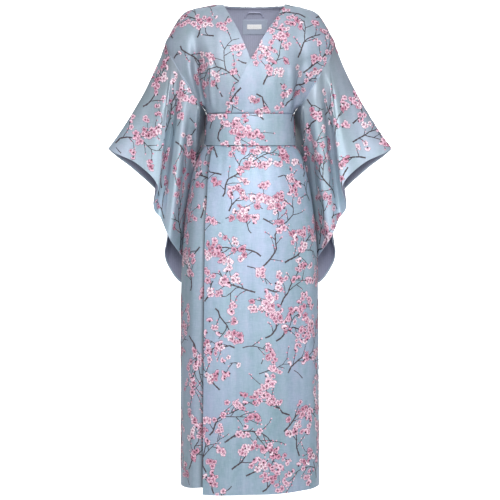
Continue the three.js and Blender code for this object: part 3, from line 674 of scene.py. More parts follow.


# lit and shaded copies of the one satin, with painted light in their colour: the body's satin darkens towards the hem
# and greys towards the shoulders; the right front is a greyer, darker copy for lying in shade; the sleeves are a greyer
# copy, darker at the top and lighter towards their foot; the sash is a greyer, darker copy
SATIN = satin_material("satin", 0.97, 0.57, 0.0, 0.36, (-1.35, -0.5, 0.86, 1.0), folds=True)
RIGHT_SATIN = satin_material("right front satin", 0.95, 0.56, 0.16, 0.24, (-1.35, -0.4, 0.86, 1.0), folds=True)
SLEEVE_SATIN = satin_material("sleeve satin", 1.1, 0.48, 0.3, 0.3, (-0.6, -0.2, 1.18, 0.82), folds=True)
SASH_SATIN = satin_material("sash satin", 0.95, 0.6, 0.16, 0, folds=True)
REVERSE = reverse_material("satin reverse")
# painted light: the back lining is a much lighter copy of the lining, brightened against the shade inside the neck
SLATE = lining_material("lining", 52)
SLATE_SLEEVE = lining_material("sleeve lining", 8, 0.16)
FIGURES = figure_material("woven figures")
PATCH_MAT = plain_material("patch", srgb(170, 180, 200))
TAPE_MAT = plain_material("tape", srgb(170, 174, 198))
LABEL_MAT = plain_material("label", srgb(253, 254, 255))
THREAD = plain_material("thread", srgb(176, 190, 204))

# ---------------------------------------------------------------- the body's panels
SIDE_STEPS = [0, 0.0022, 0.005, 0.009, 0.015, 0.024]  # near an edge the columns stand closer


def columns(n):
    mid = np.linspace(0.036, 0.964, n - 2 * len(SIDE_STEPS))
    return np.concatenate([SIDE_STEPS, mid, 1 - np.array(SIDE_STEPS[::-1])])


def rows_between(stops):
    z = [stops[0][0]]
    for (a, step), (b, _) in zip(stops, stops[1:]):
        n = max(1, round(abs(b - a) / step))
        z += list(np.linspace(a, b, n + 1)[1:])
    return np.array(z)


BODY_Z = rows_between([(-1, 1.2), (-24, 2.4), (-60, 4.2), (-119, 3.0), (-135, 4.4), (-310, 2.5), (-319.4, 0.7),
                       (-324, 8), (-410, 1.2), (-418, 3), (-460, 7), (-720, 9.5), (-1404, 6), (-1416, 3.4), (-1422.8, 1.4), (HEM, 1)])


LONG = 15


def unit(d):
    return d / np.maximum(np.linalg.norm(d, axis=-1, keepdims=True), 1e-9)


def bend(half, side, z):
    """Where the sleeve leaves the body it turns a little. This softens the turn: half of it, as a displacement at the
    seam itself, and how fast one gets away from the seam along the body's rows and along the sleeve."""
    z = np.clip(np.asarray(z, float), UNDERARM, SHOULDER_TIP)
    vs = np.linspace(0, 0.5, 400) if half == "front" else np.linspace(1, 0.5, 400)
    v = np.interp(-z, -FROM(vs), vs)
    b = unit(body_point(half, side, z) - body_point(half, side * 0.96, z))
    s = unit(sleeve_point(side, v, 0.04) - sleeve_point(side, v, 0 * v))
    t = unit(body_point(half, side, np.minimum(z + 3, SHOULDER_TIP)) - body_point(half, side, np.maximum(z - 3, UNDERARM)))
    bp = b - (b * t).sum(-1, keepdims=True) * t
    sp = s - (s * t).sum(-1, keepdims=True) * t
    k = (unit(sp) - unit(bp)) / 2
    k *= np.minimum(1, 0.4 / np.maximum(np.linalg.norm(k, axis=-1, keepdims=True), 1e-9))
    k *= (smooth((SHOULDER_TIP - 14 - z) / 36) * smooth((z - UNDERARM - 6) / 44))[..., None]
    return k * LONG, np.linalg.norm(bp, axis=-1), np.linalg.norm(sp, axis=-1)


def body_grid(half, a, b, n, creases, hem=lambda x: 0 * x):
    t = columns(n)[None, :]
    z = BODY_Z[:, None]
    share = a(z) + (b(z) - a(z)) * t
    P = body_point(half, share, z + 0 * t)
    sign = -1 if half == "front" else 1
    if half == "back":  # the back neck hollows a little between the neck points
        P[..., 2] -= NECK_DIP * np.maximum(0, 1 - ((P[..., 0] - 10) / 90) ** 2) * smooth((z + 9) / 8)
    N = normals(P, False, sign)
    edge = 1 - np.abs(share)
    calm = smooth(edge / 0.05)  # creases fade out at the side seams, where front and back meet
    P = P + N * (crease_depth(P[..., 0], P[..., 2], creases) * calm)[..., None]
    P = P + N * (rumple(P, 0.5) * calm * smooth((-20 - P[..., 2]) / 60))[..., None]
    reach = np.linalg.norm(np.diff(P, axis=1), axis=2).sum(1)
    for end, away, which in ((-1, t * reach[:, None], a(z)), (1, (1 - t) * reach[:, None], b(z))):
        if np.abs(which).max() > 0.9995:
            turn_by, fast, _ = bend(half, end, BODY_Z)
            P = P + turn_by[:, None, :] * np.exp(-away * fast[:, None] / LONG)[..., None]
    P[..., 2] -= hem(P[..., 0]) * smooth((-1200 - P[..., 2]) / 227)
    seam = np.abs(share) > 0.9995
    P[..., 1] += np.where(seam, sign * SEAM * 0.4, 0)
    N = normals(P, False, sign)
    # pull each seam in a little, where the stitches draw it
    width = np.linalg.norm(np.diff(P, axis=1), axis=2).sum(1)[:, None]
    pull = 1.1 - 0.85 * smooth((z - UNDERARM + 4) / 12) * smooth((SHOULDER_TIP + 14 - z) / 14)
    for side, which in ((t * width, a(z)), ((1 - t) * width, b(z))):
        is_seam = np.abs(which) > 0.9995
        P = P - N * (pull * np.exp(-((side / 2.6) ** 2)) * is_seam)[..., None]
    armhole = seam & (P[..., 2] > UNDERARM) & (P[..., 2] < SHOULDER_TIP)
    straight = seam & ~armhole
    N[straight, 1] = 0
    N /= np.maximum(np.linalg.norm(N, axis=-1, keepdims=True), 1e-9)
    return P, N


def all_(value):
    return lambda z: value + 0 * z


hem_side = float(RIGHT(HEM))
P_back, N_back = body_grid("back", all_(-1.0), all_(1.0), 116, BACK_CREASES)
P_under, N_under = body_grid("front", all_(-1.0), lambda z: share_of(under_edge(z), z), 84,
                             FRONT_CREASES + UNDER_CREASES, lambda x: -HEM_LIFT * smooth((x + hem_side) / 75))
P_over, N_over = body_grid("front", lambda z: share_of(over_edge(z), z), all_(1.0), 96, FRONT_CREASES,
                           lambda x: HEM_DROP * (hem_side - x) / (hem_side - float(over_edge(HEM))))
lap = (LAP * smooth((LAP_TO - P_over[..., 0]) / (LAP_TO - UNDER_REACH))
       + LIFT * smooth((SASH_FOOT - P_over[..., 2]) / 300)
       * (1 - smooth((P_over[..., 0] - over_edge(P_over[..., 2])) / LIFT_WIDE)))



def painted_shade_on_body(P, beside_edge=0.0):
    """Painted shade for the body's satin and figures, a factor that darkens their colour: on the sides behind the
    sleeves, beside the left front's edge, towards the armholes and a little on the bodice as a whole.
    """
    x, z = P[..., 0], P[..., 2]
    # painted shade on the skirt's sides, where the sleeves hang close
    side = smooth((np.abs(share_of(x, z)) - 0.82) / 0.15)
    deep = 0.36 * side * smooth((SASH_FOOT - z) / 12) * smooth((z + 880) / 280)
    # painted shadow beside the left front's lifted edge
    deep = deep + beside_edge * bell((x - over_edge(z) + 4.5) / 7.5) * smooth((SASH_FOOT + 2 - z) / 14)
    # painted shade: the bodice darkens towards the armhole, and a little as a whole below the shoulders
    chest = smooth((-105 - z) / 60) * smooth((z - SASH_TOP) / 6)
    deep = deep + chest * (0.1 + np.where(x < 0, 0.3, 0.2) * bell((np.abs(x) - 150) / 20))
    return 1 - np.minimum(0.8, deep)


def painted_shade_beside_skirt(P, N):
    """Painted shade: a darker line down the front wall of a sleeve, where it meets the side of the skirt."""
    x, z = P[..., 0], P[..., 2]
    gap = np.abs(x) - np.where(x < 0, LEFT(z), RIGHT(z))
    band = smooth((12 - gap) / 9) * smooth((gap + 14) / 12)
    facing = smooth((-N[..., 1] - 0.15) / 0.4)
    return 1 - 0.5 * band * facing * smooth((-452 - z) / 170)


back, S_back = wall("back_cloth", P_back, N_back, -CLOTH, 0, False, [SATIN, REVERSE], shade=painted_shade_on_body(P_back))
under, S_under = wall("front_right_cloth", P_under, N_under, -CLOTH, 0, False, [RIGHT_SATIN, REVERSE],
                      shade=painted_shade_on_body(P_under, 0.6))
over, S_over = wall("front_left_cloth", P_over, N_over, lap - CLOTH, lap, False, [SATIN, REVERSE], shade=painted_shade_on_body(P_over))
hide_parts("back")
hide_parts("front_right")
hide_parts("front_left")

# the back's lining, down to just above the sash
rows = np.where((BODY_Z > -300) & (BODY_Z < -1.5))[0]
P, N = P_back[rows][::1, 4:-4:2], N_back[rows][::1, 4:-4:2]
lining, _ = wall("back_lining_cloth", P, N, -CLOTH - LOOSE - LINING, -CLOTH - LOOSE, False, [SLATE])
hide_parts("back_lining")
S_lining = P - N * (CLOTH + LOOSE + LINING)

# ---------------------------------------------------------------- the sleeves
# Creases of a sleeve: place round it, where along it they run from and to, depth and breadth, both in mm.
SLEEVE_CREASES = [
    (0.165, 0.2, 1.0, 2.4, 20), (0.225, 0.1, 0.95, 3.8, 13), (0.262, 0.15, 0.8, -2.0, 8), (0.305, 0.1, 0.95, -6.5, 16),
    (0.348, 0.1, 0.8, 2.6, 8), (0.386, 0.06, 0.85, 4.4, 12), (0.42, 0.05, 0.6, -3.0, 8), (0.452, 0.0, 0.5, -3.0, 9),
    (0.09, 0.3, 0.9, -2.2, 22), (0.2, 0.06, 0.4, -2.4, 8), (0.24, 0.04, 0.3, 2.0, 8), (0.55, 0.1, 0.8, -2.6, 16),
    (0.62, 0.1, 0.9, 3.0, 18), (0.69, 0.15, 0.95, -3.0, 14), (0.76, 0.1, 0.9, 2.6, 13), (0.83, 0.2, 0.95, -2.4, 14),
    (0.9, 0.3, 0.95, 1.8, 18),
]
RING = 150
SLEEVE_W = np.concatenate([[0, 0.0025, 0.006, 0.011, 0.018], np.linspace(0.028, 0.976, 74), [0.986, 0.993, 0.9975, 1]])


def sleeve_grid(side):
    # columns stand evenly along the cuff and the middle of the sleeve
    dense = np.linspace(0, 1, 1201)
    ring = sleeve_point(side, dense, 0.75 + 0 * dense)
    run = np.concatenate([[0], np.cumsum(np.linalg.norm(np.diff(ring, axis=0), axis=1))])
    v = np.interp(np.linspace(0, 1, RING + 1)[:-1] * run[-1], run, dense)
    v = v[None, :]
    w = SLEEVE_W[:, None]
    start = 0.4 / np.linalg.norm(sleeve_point(side, v[0], 0 * v[0] + 1) - sleeve_point(side, v[0], 0 * v[0]), axis=-1)
    ww = start[None, :] + (1 - start[None, :]) * w
    P = sleeve_point(side, v + 0 * ww, ww)
    for half in ("front", "back"):
        here = (v[0] < 0.5) if half == "front" else (v[0] >= 0.5)
        turn_by, _, fast = bend(half, side, FROM(v[0]))
        run = np.linalg.norm(P[-1] - P[0], axis=-1)
        P = P + (turn_by * here[:, None])[None] * np.exp(-ww * (run * fast)[None, :] / LONG)[..., None]
    N = normals(P, True, side)
    ring_len = np.linalg.norm(np.diff(np.concatenate([P, P[:, :1]], 1), axis=1), axis=2).sum(1)[:, None]
    d = np.zeros(P.shape[:2])
    for k, (at, w0, w1, deep, broad) in enumerate(SLEEVE_CREASES):
        drift = at + (0.006 * math.sin(5 * k + 1 + side)) * (1 - w) + 0.004 * side
        away = (v - drift + 0.5) % 1 - 0.5
        d += deep * bell(away * ring_len / broad) * smooth((w - w0) / 0.25) * smooth((w1 + 0.2 - w) / 0.25)
    P = P + N * (d * smooth(w / 0.08))[..., None]
    P = P + N * (rumple(P, 0.6) * smooth(w / 0.15))[..., None]
    N = normals(P, True, side)
    length = np.linalg.norm(np.diff(P, axis=0), axis=2).sum(0)[None, :]
    P = P - N * (0.25 * np.exp(-((w * length / 2.6) ** 2)))[..., None]
    sleeve_params[side] = (v + 0 * ww, ww)
    return P, N


sleeves, sleeve_params = {}, {}
for label, side in (("left", 1), ("right", -1)):
    P, N = sleeve_grid(side)
    vv, ww = sleeve_params[side]
    # painted shade: the sleeve darkens in its underarm fold, along its upper fold, in one deep trough and beside the
    # skirt
    deep = (bell((vv - 0.482) / 0.034) * smooth((0.5 - ww) / 0.25) + 0.4 * bell((vv - 0.5) / 0.05) * smooth((0.9 - ww) / 0.4))
    # painted shade along the upper fold, which turns away from the front as it nears the cuff
    deep = deep + 0.3 * (bell((vv - 0.0) / 0.05) + bell((vv - 1.0) / 0.05)) * smooth((ww - 0.05) / 0.3)
    # painted shade in the deep trough a third of the way round
    deep = deep + (0.3 if side < 0 else 0.48) * bell((vv - 0.305) / 0.022) * smooth((ww - 0.12) / 0.25) * smooth((1.05 - ww) / 0.4)
    o, S = wall(f"sleeve_{label}_cloth", P, N, -CLOTH, 0, True, [SLEEVE_SATIN, REVERSE],
                shade=(1 - 0.6 * np.minimum(1, deep)) * painted_shade_beside_skirt(P, N))
    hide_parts(f"sleeve_{label}")
    keep = slice(2, -3)
    q, _ = wall(f"sleeve_{label}_lining_cloth", P[keep], N[keep], -CLOTH - LOOSE - LINING, -CLOTH - LOOSE, True,
                [SLATE_SLEEVE])
    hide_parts(f"sleeve_{label}_lining")
    sleeves[label] = (o, q, S, P, N)

# ---------------------------------------------------------------- the sash
(z0, half0, f0, b0), (z1, half1, f1, b1) = SASH_SECTIONS
whole = 1 + SASH_LAP / 700
turn = np.linspace(0, whole, 260)[None, :]
k = np.array([0, 0.012, 0.03, 0.06] + list(np.linspace(0.1, 0.9, 15)) + [0.94, 0.97, 0.988, 1])[:, None]
sin, cos = np.sin(turn * 2 * math.pi), np.cos(turn * 2 * math.pi)
half = half0 + (half1 - half0) * k
deep = np.where(cos < 0, f0 + (f1 - f0) * k, b0 + (b1 - b0) * k)
climb = (SASH + 0.5) * smooth((turn - 0.93) / 0.07)
P = np.stack([-np.sign(sin) * half * np.abs(sin) ** (2 / SQUARE) * (1 + climb / half),
              np.abs(cos) ** (2 / SQUARE) * deep * (1 + climb / 100),
              z0 + (z1 - z0) * k + 0 * turn], -1)
N = normals(P, False, -1)
bow = 0.9 * np.sin(math.pi * k) ** 0.7  # the stiffener's faces swell a little between its edges
ripple = 0.35 * np.sin(turn * 61 + 2 * np.sin(turn * 17)) * np.sin(math.pi * k) * (1 + np.sin(turn * 23))
P = P + N * (bow + ripple * 0.6)[..., None]
N = normals(P, False, -1)
# painted shade: the sash darkens towards minus x and a little towards plus x
sash, S_sash = wall("sash_cloth", P, N, -SASH, 0, False, [SASH_SATIN],
                    shade=1 - 0.26 * smooth((-76 - P[..., 0]) / 44) - 0.12 * smooth((P[..., 0] - 92) / 30))
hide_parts("sash")
P_sash, N_sash = P, N

# ---------------------------------------------------------------- inside the neck
lining_off = -CLOTH - LOOSE - LINING


def on_lining(wide, shift, top, foot, near, thick, n=24, m=14, swell=0.0):
    z = np.linspace(top, foot, m)[:, None]
    x = NECK_MIDDLE + shift + wide * (np.linspace(0, 1, n)[None, :] - 0.5)
    P = body_point("back", share_of(x + 0 * z, z + 0 * x), z + 0 * x)
    N = normals(P, False, 1)
    u = np.linspace(0, 1, n)[None, :]
    v = np.linspace(0, 1, m)[:, None]
    puff = swell * (np.sin(math.pi * u) * np.sin(math.pi * v)) ** 0.5
    return P, N, lining_off - near - thick - puff, lining_off - near + 0 * puff


P, N, inner, outer = on_lining(75.5, 2, -36.5, -82, 1.0, 0.9, swell=0.4)
patch, _ = wall("neck_patch_cloth", P, N, inner, outer, False, [PATCH_MAT])
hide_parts("neck_patch")
P, N, inner, outer = on_lining(44, 0, -51, -65, 2.5, 0.5, n=16, m=8)
label_piece, _ = wall("neck_label_cloth", P, N, inner, outer, False, [LABEL_MAT])
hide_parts("neck_label")

# a row of stitches round the patch and at the label's ends
def stitches(name, runs, near, mat, length=2.6, gap=1.6, radius=0.28):
    verts, faces = [], []
    for (x0, s0), (x1, s1) in runs:
        L = math.hypot(x1 - x0, s1 - s0)
        n = int(L // (length + gap))
        for i in range(n):
            ends = []
            for s in (i * (length + gap), i * (length + gap) + length):
                x, z = x0 + (x1 - x0) * s / L, s0 + (s1 - s0) * s / L
                base = body_point("back", share_of(NECK_MIDDLE + x, z), z)
                ends.append(np.array([base[0], base[1] + lining_off - near - radius * 0.6, z]))
            a, b = ends
            d = (b - a) / np.linalg.norm(b - a)
            u = np.cross(d, (0, 1, 0))
            u /= np.linalg.norm(u)
            w = np.cross(d, u)
            first = len(verts)
            for p, r in ((a, 0.35), (a + d * 0.5, 1), (b - d * 0.5, 1), (b, 0.35)):
                for j in range(6):
                    an = j * math.pi / 3
                    verts.append(p + radius * r * (u * math.cos(an) + w * math.sin(an)))
            for ring in range(3):
                for j in range(6):
                    a0, a1 = first + ring * 6 + j, first + ring * 6 + (j + 1) % 6
                    faces.append([a0, a1, a1 + 6, a0 + 6])
            faces.append([first + j for j in range(5, -1, -1)])
            faces.append([first + 18 + j for j in range(6)])
    return make_object(name, verts, faces, [mat], None, 60)


stitches("patch_stitches", [((-33.5, -38.8), (37.5, -38.8)), ((-33.5, -79.6), (37.5, -79.6)),
                            ((-33.5, -40.5), (-33.5, -78)), ((37.5, -40.5), (37.5, -78))], 1.95, THREAD)
stitches("label_stitches", [((-20.5, -52.5), (-20.5, -63.5)), ((20.5, -52.5), (20.5, -63.5))], 3.1, THREAD, 1.6, 1.0, 0.2)

# the hanger loop: a flat tape on an arch
STEPS = 60
t = np.linspace(0, 1, STEPS)
x = NECK_MIDDLE + 54 * (t - 0.5)
z = -33 + 14 * np.minimum(1, np.sin(t * math.pi) * 1.8) ** 0.6
base = body_point("back", share_of(x, z), z)
off = 3 + 6.6 * smooth(np.sin(t * math.pi) * 1.3)
line = np.stack([x, base[:, 1] + lining_off - off - 0.8, z], -1)
for _ in range(4):
    line[1:-1] = (line[:-2] + 2 * line[1:-1] + line[2:]) / 4
tangent = np.gradient(line, axis=0)
tangent /= np.linalg.norm(tangent, axis=1, keepdims=True)
out_dir = np.tile(np.array([0.0, -1.0, 0.0]), (STEPS, 1))
wide_dir = np.cross(tangent, out_dir)
wide_dir /= np.linalg.norm(wide_dir, axis=1, keepdims=True)
out_dir = np.cross(wide_dir, tangent)
verts, faces = [], []
SECTION = [(-2.0, -0.35), (-1.7, -0.75), (1.7, -0.75), (2.0, -0.35), (2.0, 0.35), (1.7, 0.75), (-1.7, 0.75), (-2.0, 0.35)]
for i in range(STEPS):
    for a, b in SECTION:
        verts.append(line[i] + wide_dir[i] * a + out_dir[i] * b)
m = len(SECTION)
for i in range(STEPS - 1):
    for j in range(m):
        a0, a1 = i * m + j, i * m + (j + 1) % m
        faces.append([a0, a0 + m, a1 + m, a1])
faces.append(list(range(m)))
faces.append([(STEPS - 1) * m + j for j in range(m - 1, -1, -1)])
loop = make_object("hanger_loop_tape", verts, faces, [TAPE_MAT], None, 60)
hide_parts("hanger_loop")


# ---------------------------------------------------------------- the woven figures
# Boughs of blossom, each grown over the cloth from its own starting point: they fork, carry twigs, buds and
# clusters of five-petalled flowers, and stop at the cloth's edge or where another bough already lies.
BARK_DARK, BARK_MID, BARK_PAINTED_HIGHLIGHT = srgb(30, 24, 34), srgb(64, 50, 60), srgb(112, 94, 104)
MOSS = srgb(88, 98, 88)
PETAL = [  # heart, middle and rim of each shade of blossom
    (srgb(190, 118, 150), srgb(230, 190, 212), srgb(252, 236, 246)),
    (srgb(174, 98, 130), srgb(220, 172, 196), srgb(246, 216, 232)),
    (srgb(148, 74, 104), srgb(202, 136, 164), srgb(234, 186, 208)),
    (srgb(200, 144, 172), srgb(242, 222, 234), srgb(255, 252, 255)),
]
LINE = [srgb(160, 98, 126), srgb(140, 78, 106), srgb(110, 52, 76), srgb(176, 128, 152)]
HEART, POLLEN = srgb(78, 30, 48), srgb(222, 196, 184)
BUD = srgb(186, 104, 134)


class Cloth:
    """The outer face of one piece of cloth, for things that lie on it."""

    def __init__(self, S, N, closed):
        rows, cols = S.shape[:2]
        idx = np.arange(rows * cols).reshape(rows, cols)
        if closed:
            idx = np.concatenate([idx, idx[:, :1]], 1)
        q = np.stack([idx[:-1, :-1], idx[1:, :-1], idx[1:, 1:], idx[:-1, 1:]], -1).reshape(-1, 4)
        Q = S.reshape(-1, 3)
        self.tree = BVHTree.FromPolygons(Q.tolist(), q.tolist())
        area = np.linalg.norm(np.cross(Q[q[:, 2]] - Q[q[:, 0]], Q[q[:, 3]] - Q[q[:, 1]]), axis=1) / 2
        self.cum = np.cumsum(area)
        self.mid = Q[q].mean(1)
        self.area = self.cum[-1]
        self.cells = {}
        votes = 0
        for i in range(4, rows - 4, 9):
            for j in range(4, cols - 4, 9):
                _, nor, _, _ = self.tree.find_nearest(Vector(S[i, j]))
                votes += 1 if nor.dot(Vector(N[i, j])) > 0 else -1
        self.sign = 1 if votes > 0 else -1

        self.no_go = lambda p: False

    def near(self, p):
        loc, nor, _, dist = self.tree.find_nearest(p)
        return loc, nor * self.sign, dist

    def claim(self, p, who):
        self.cells.setdefault((int(p[0] // 16), int(p[1] // 16), int(p[2] // 16)), []).append((p.copy(), who))

    def free(self, p, who, room):
        if self.no_go(p):
            return False
        a, b, c = int(p[0] // 16), int(p[1] // 16), int(p[2] // 16)
        for i in (-1, 0, 1):
            for j in (-1, 0, 1):
                for k in (-1, 0, 1):
                    for q, w in self.cells.get((a + i, b + j, c + k), ()):
                        if w != who and (q - p).length < room:
                            return False
        return True


class Figures:
    def __init__(self):
        self.v, self.n, self.f, self.c = [], [], [], []

    def add(self, cloth, points, faces, colours, offs):
        first = len(self.v)
        for p, off in zip(points, offs):
            loc, nor, _ = cloth.near(p)
            self.v.append(loc + nor * off)
            self.n.append(tuple(nor))
        self.f += [[first + i for i in f] for f in faces]
        self.c += colours

    def make(self, name, shade, hidden):
        me = bpy.data.meshes.new(name)
        at = np.array([tuple(p) for p in self.v])
        lost = hidden(at)
        self.f = [f for f in self.f if sum(lost[i] for i in f) * 2 < len(f)]
        dyes_and_painted_shade = np.array(self.c, float)
        # painted shade: the figures darken with the same factor as the cloth they lie on
        dyes_and_painted_shade[:, :3] *= shade(at, np.array(self.n))[:, None]
        me.from_pydata([tuple(p * MM) for p in self.v], [], self.f)
        me.materials.append(FIGURES)
        me.polygons.foreach_set("use_smooth", np.ones(len(me.polygons), bool))
        dye_and_painted_shade = me.color_attributes.new("dye_and_painted_shade", "FLOAT_COLOR", "POINT")
        dye_and_painted_shade.data.foreach_set("color", dyes_and_painted_shade.reshape(-1))
        bm = bmesh.new()
        bm.from_mesh(me)
        bmesh.ops.delete(bm, geom=[v for v in bm.verts if not v.link_faces], context="VERTS")
        bm.to_mesh(me)
        bm.free()
        me.validate()
        me.update()
        o = bpy.data.objects.new(name, me)
        bpy.context.scene.collection.objects.link(o)
        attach(o, "root")
        return o


def mixc(a, b, t):
    t = min(1, max(0, t))
    return tuple(x + (y - x) * t for x, y in zip(a, b))


def frame_at(nor, d):
    d = d - nor * d.dot(nor)
    if d.length < 1e-6:
        d = nor.orthogonal()
    d.normalize()
    return d, nor.cross(d)


# a petal's outline from the heart outwards: along it, across it
OUTLINE = [(0.14, 0.06), (0.44, 0.3), (0.78, 0.38), (0.97, 0.19), (0.9, 0.0), (0.97, -0.19), (0.78, -0.38), (0.44, -0.3), (0.14, -0.06)]
BACKING = [(0.1, 0.0), (0.44, 0.3), (0.78, 0.38), (0.97, 0.17), (0.97, -0.17), (0.78, -0.38), (0.44, -0.3)]


def petal(fig, cloth, place, a, rad, shade, base, tone, r):
    ca, sa = math.cos(a), math.sin(a)
    heart, middle, rim = PETAL[shade]
    n = len(OUTLINE)
    wob = [1 + 0.05 * math.sin(2.3 * i + 9 * tone) for i in range(n)]
    # a darker line round it, a finer weave below
    pts = [place(rad * 1.1 * (p * ca - q * sa), rad * 1.1 * (p * sa + q * ca)) for p, q in BACKING]
    fig.add(cloth, pts, [list(range(len(pts)))], [LINE[shade]] * len(pts), [base] * len(pts))
    pts = [place(rad * (p * w * ca - q * w * sa), rad * (p * w * sa + q * w * ca)) for (p, q), w in zip(OUTLINE, wob)]
    pts.append(place(rad * 0.5 * ca, rad * 0.5 * sa))
    cols = [mixc(heart, rim, p * 1.15 - 0.1 + tone) for p, q in OUTLINE] + [mixc(heart, middle, 0.6 + tone * 0.6)]
    fig.add(cloth, pts, [[i, (i + 1) % n, n] for i in range(n)], cols, [base + 0.06] * n + [base + 0.26])


def blossom(fig, cloth, at, nor, d, radius, shade, layer, r):
    u, w = frame_at(nor, d)
    spin = r.uniform(0, 2 * math.pi)
    squash = r.uniform(0.66, 1.0)  # most blossoms are turned a little away
    lean = r.uniform(0, math.pi)
    cl, sl = math.cos(lean), math.sin(lean)

    def place(a, b):
        a2, b2 = a * cl + b * sl, (-a * sl + b * cl) * squash
        return at + u * (a2 * cl - b2 * sl) + w * (a2 * sl + b2 * cl)

    base = 0.36 + 0.16 * layer
    for k in range(5):
        a = spin + k * 2 * math.pi / 5 + r.uniform(-0.1, 0.1)
        petal(fig, cloth, place, a, radius * r.uniform(0.88, 1.08), shade, base + 0.025 * k, r.uniform(-0.16, 0.14), r)
    ring = [place(radius * 0.14 * math.cos(j * 1.2566), radius * 0.14 * math.sin(j * 1.2566)) for j in range(5)]
    fig.add(cloth, ring + [at], [[i, (i + 1) % 5, 5] for i in range(5)], [HEART] * 5 + [mixc(HEART, LINE[shade], 0.3)],
            [base + 0.4] * 5 + [base + 0.5])
    chance = r.random(14)
    for j in range(5):
        a = spin + (j + 0.5) * 2 * math.pi / 5 + (chance[2 * j] - 0.5) * 0.5
        ca, sa = math.cos(a), math.sin(a)
        ln, th = radius * (0.36 + 0.2 * chance[2 * j + 1]), 0.4
        pts = [place(radius * 0.12 * ca + th * sa, radius * 0.12 * sa - th * ca), place(ln * ca, ln * sa),
               place(radius * 0.12 * ca - th * sa, radius * 0.12 * sa + th * ca)]
        fig.add(cloth, pts, [[0, 1, 2]], [HEART] * 3, [base + 0.44] * 3)
        t = 0.85
        pts = [place((ln + 0.3) * ca + t * math.cos(g), (ln + 0.3) * sa + t * math.sin(g)) for g in (0.0, 2.1, 4.2)]
        fig.add(cloth, pts, [[0, 1, 2]], [POLLEN if j % 2 else HEART] * 3, [base + 0.5] * 3)


def half_blossom(fig, cloth, at, nor, d, radius, shade, layer, r):
    """One seen from the side: three or four petals fanning from a small cup."""
    u, w = frame_at(nor, d)

    def place(a, b):
        return at + u * a + w * b

    base = 0.36 + 0.16 * layer
    count = int(r.integers(3, 5))
    for k in range(count):
        a = (k - (count - 1) / 2) * 0.62 + r.uniform(-0.08, 0.08)
        petal(fig, cloth, place, a, radius * r.uniform(0.95, 1.2), shade, base + 0.025 * k, r.uniform(-0.2, 0.1), r)
    cup = [(-0.25, 0.0), (-0.1, 0.2), (0.25, 0.28), (0.32, 0.1), (0.22, 0.0), (0.32, -0.1), (0.25, -0.28), (-0.1, -0.2)]
    fig.add(cloth, [place(radius * p, radius * q) for p, q in cup], [list(range(8))], [mixc(HEART, BARK_DARK, 0.4)] * 8, [base + 0.4] * 8)


def bud(fig, cloth, at, nor, d, size, r):
    u, w = frame_at(nor, d)
    outline = [(0, 0.0), (0.16, 0.26), (0.5, 0.38), (0.84, 0.22), (1.05, 0.0), (0.84, -0.22), (0.5, -0.38), (0.16, -0.26)]
    pts = [at + u * (size * p) + w * (size * q) for p, q in outline] + [at + u * (size * 0.55)]
    pale = PETAL[int(r.integers(0, 3))][2]
    cols = [mixc(BUD, pale, 0.1 + 0.7 * p) for p, q in outline] + [mixc(BUD, pale, 0.55)]
    fig.add(cloth, pts, [[i, (i + 1) % 8, 8] for i in range(8)], cols, [0.5] * 8 + [0.8])
    cup = [(-0.16, 0.1), (0.3, 0.26), (0.2, 0), (0.3, -0.26), (-0.16, -0.1)]
    fig.add(cloth, [at + u * (size * p) + w * (size * q) for p, q in cup], [[0, 1, 2], [0, 2, 4], [2, 3, 4]],
            [BARK_DARK] * 5, [0.72] * 5)


def walk(cloth, who, p, nor, d, length, r, step=4.0, curl=0.0, kink=0.34, room=13):
    """A line of points over the cloth, angular as a twig is."""
    line = [(p.copy(), nor.copy(), d.copy())]
    done, until = 0.0, r.uniform(10, 28)
    while done < length:
        u, w = frame_at(nor, d)
        d = (u + w * (curl * step + r.normal(0, 0.04))).normalized()
        until -= step
        if until <= 0:
            u, w = frame_at(nor, d)
            d = (u + w * r.normal(0, kink)).normalized()
            until = r.uniform(12, 30)
        q = p + d * step
        loc, n2, dist = cloth.near(q)
        if dist > 1.5 or n2.dot(nor) < 0.55 or not cloth.free(loc, who, room):
            break
        d, _ = frame_at(n2, loc - p)
        p, nor = loc, n2
        done += step
        line.append((p.copy(), nor.copy(), d.copy()))
    return line


def twig(fig, cloth, line, w0, w1, r):
    """A tapered strip along a line of points, with a painted highlight: a paler band along one side of its back."""
    if len(line) < 3:
        return
    pts, cols, offs, faces = [], [], [], []
    n = len(line)
    shade = r.uniform(0, 0.5)
    for i, (p, nor, d) in enumerate(line):
        s = i / (n - 1)
        half = (w0 + (w1 - w0) * s) / 2 * (1 + 0.16 * math.sin(i * 1.9 + w0 * 7) + r.uniform(-0.08, 0.08))
        u, w = frame_at(nor, d)
        edge = mixc(BARK_DARK, BARK_MID, r.uniform(0, 0.45))
        pts += [p - w * half, p - w * half * 0.15, p + w * half]
        # painted highlight: the paler band a little off the strip's middle
        cols += [edge, mixc(mixc(BARK_PAINTED_HIGHLIGHT, BARK_MID, shade + 0.5 * s), MOSS if i % 5 == 0 else BARK_DARK, 0.42), edge]
        offs += [0.24, 0.5, 0.24]
    for i in range(n - 1):
        a = 3 * i
        faces += [[a, a + 1, a + 4, a + 3], [a + 1, a + 2, a + 5, a + 4]]
    fig.add(cloth, pts, faces, cols, offs)


def cluster(fig, cloth, who, p, nor, d, count, size, r):
    u, w = frame_at(nor, d)
    shade = int(r.choice(4, p=[0.36, 0.3, 0.17, 0.17]))
    for k in range(count):
        along, side = r.normal(0, size * 0.75) + k * size * 0.45, r.normal(0, size * 0.62)
        q, n2, dist = cloth.near(p + u * along + w * side)
        if dist > 2 or not cloth.free(q, who, 10):
            continue
        own = shade if r.random() < 0.72 else int(r.integers(0, 4))
        make = half_blossom if r.random() < 0.28 else blossom
        turn = r.uniform(-1.2, 1.2)
        make(fig, cloth, q, n2, u * math.cos(turn) + w * math.sin(turn), size * r.uniform(0.82, 1.12), own, k, r)
        cloth.claim(q, who)


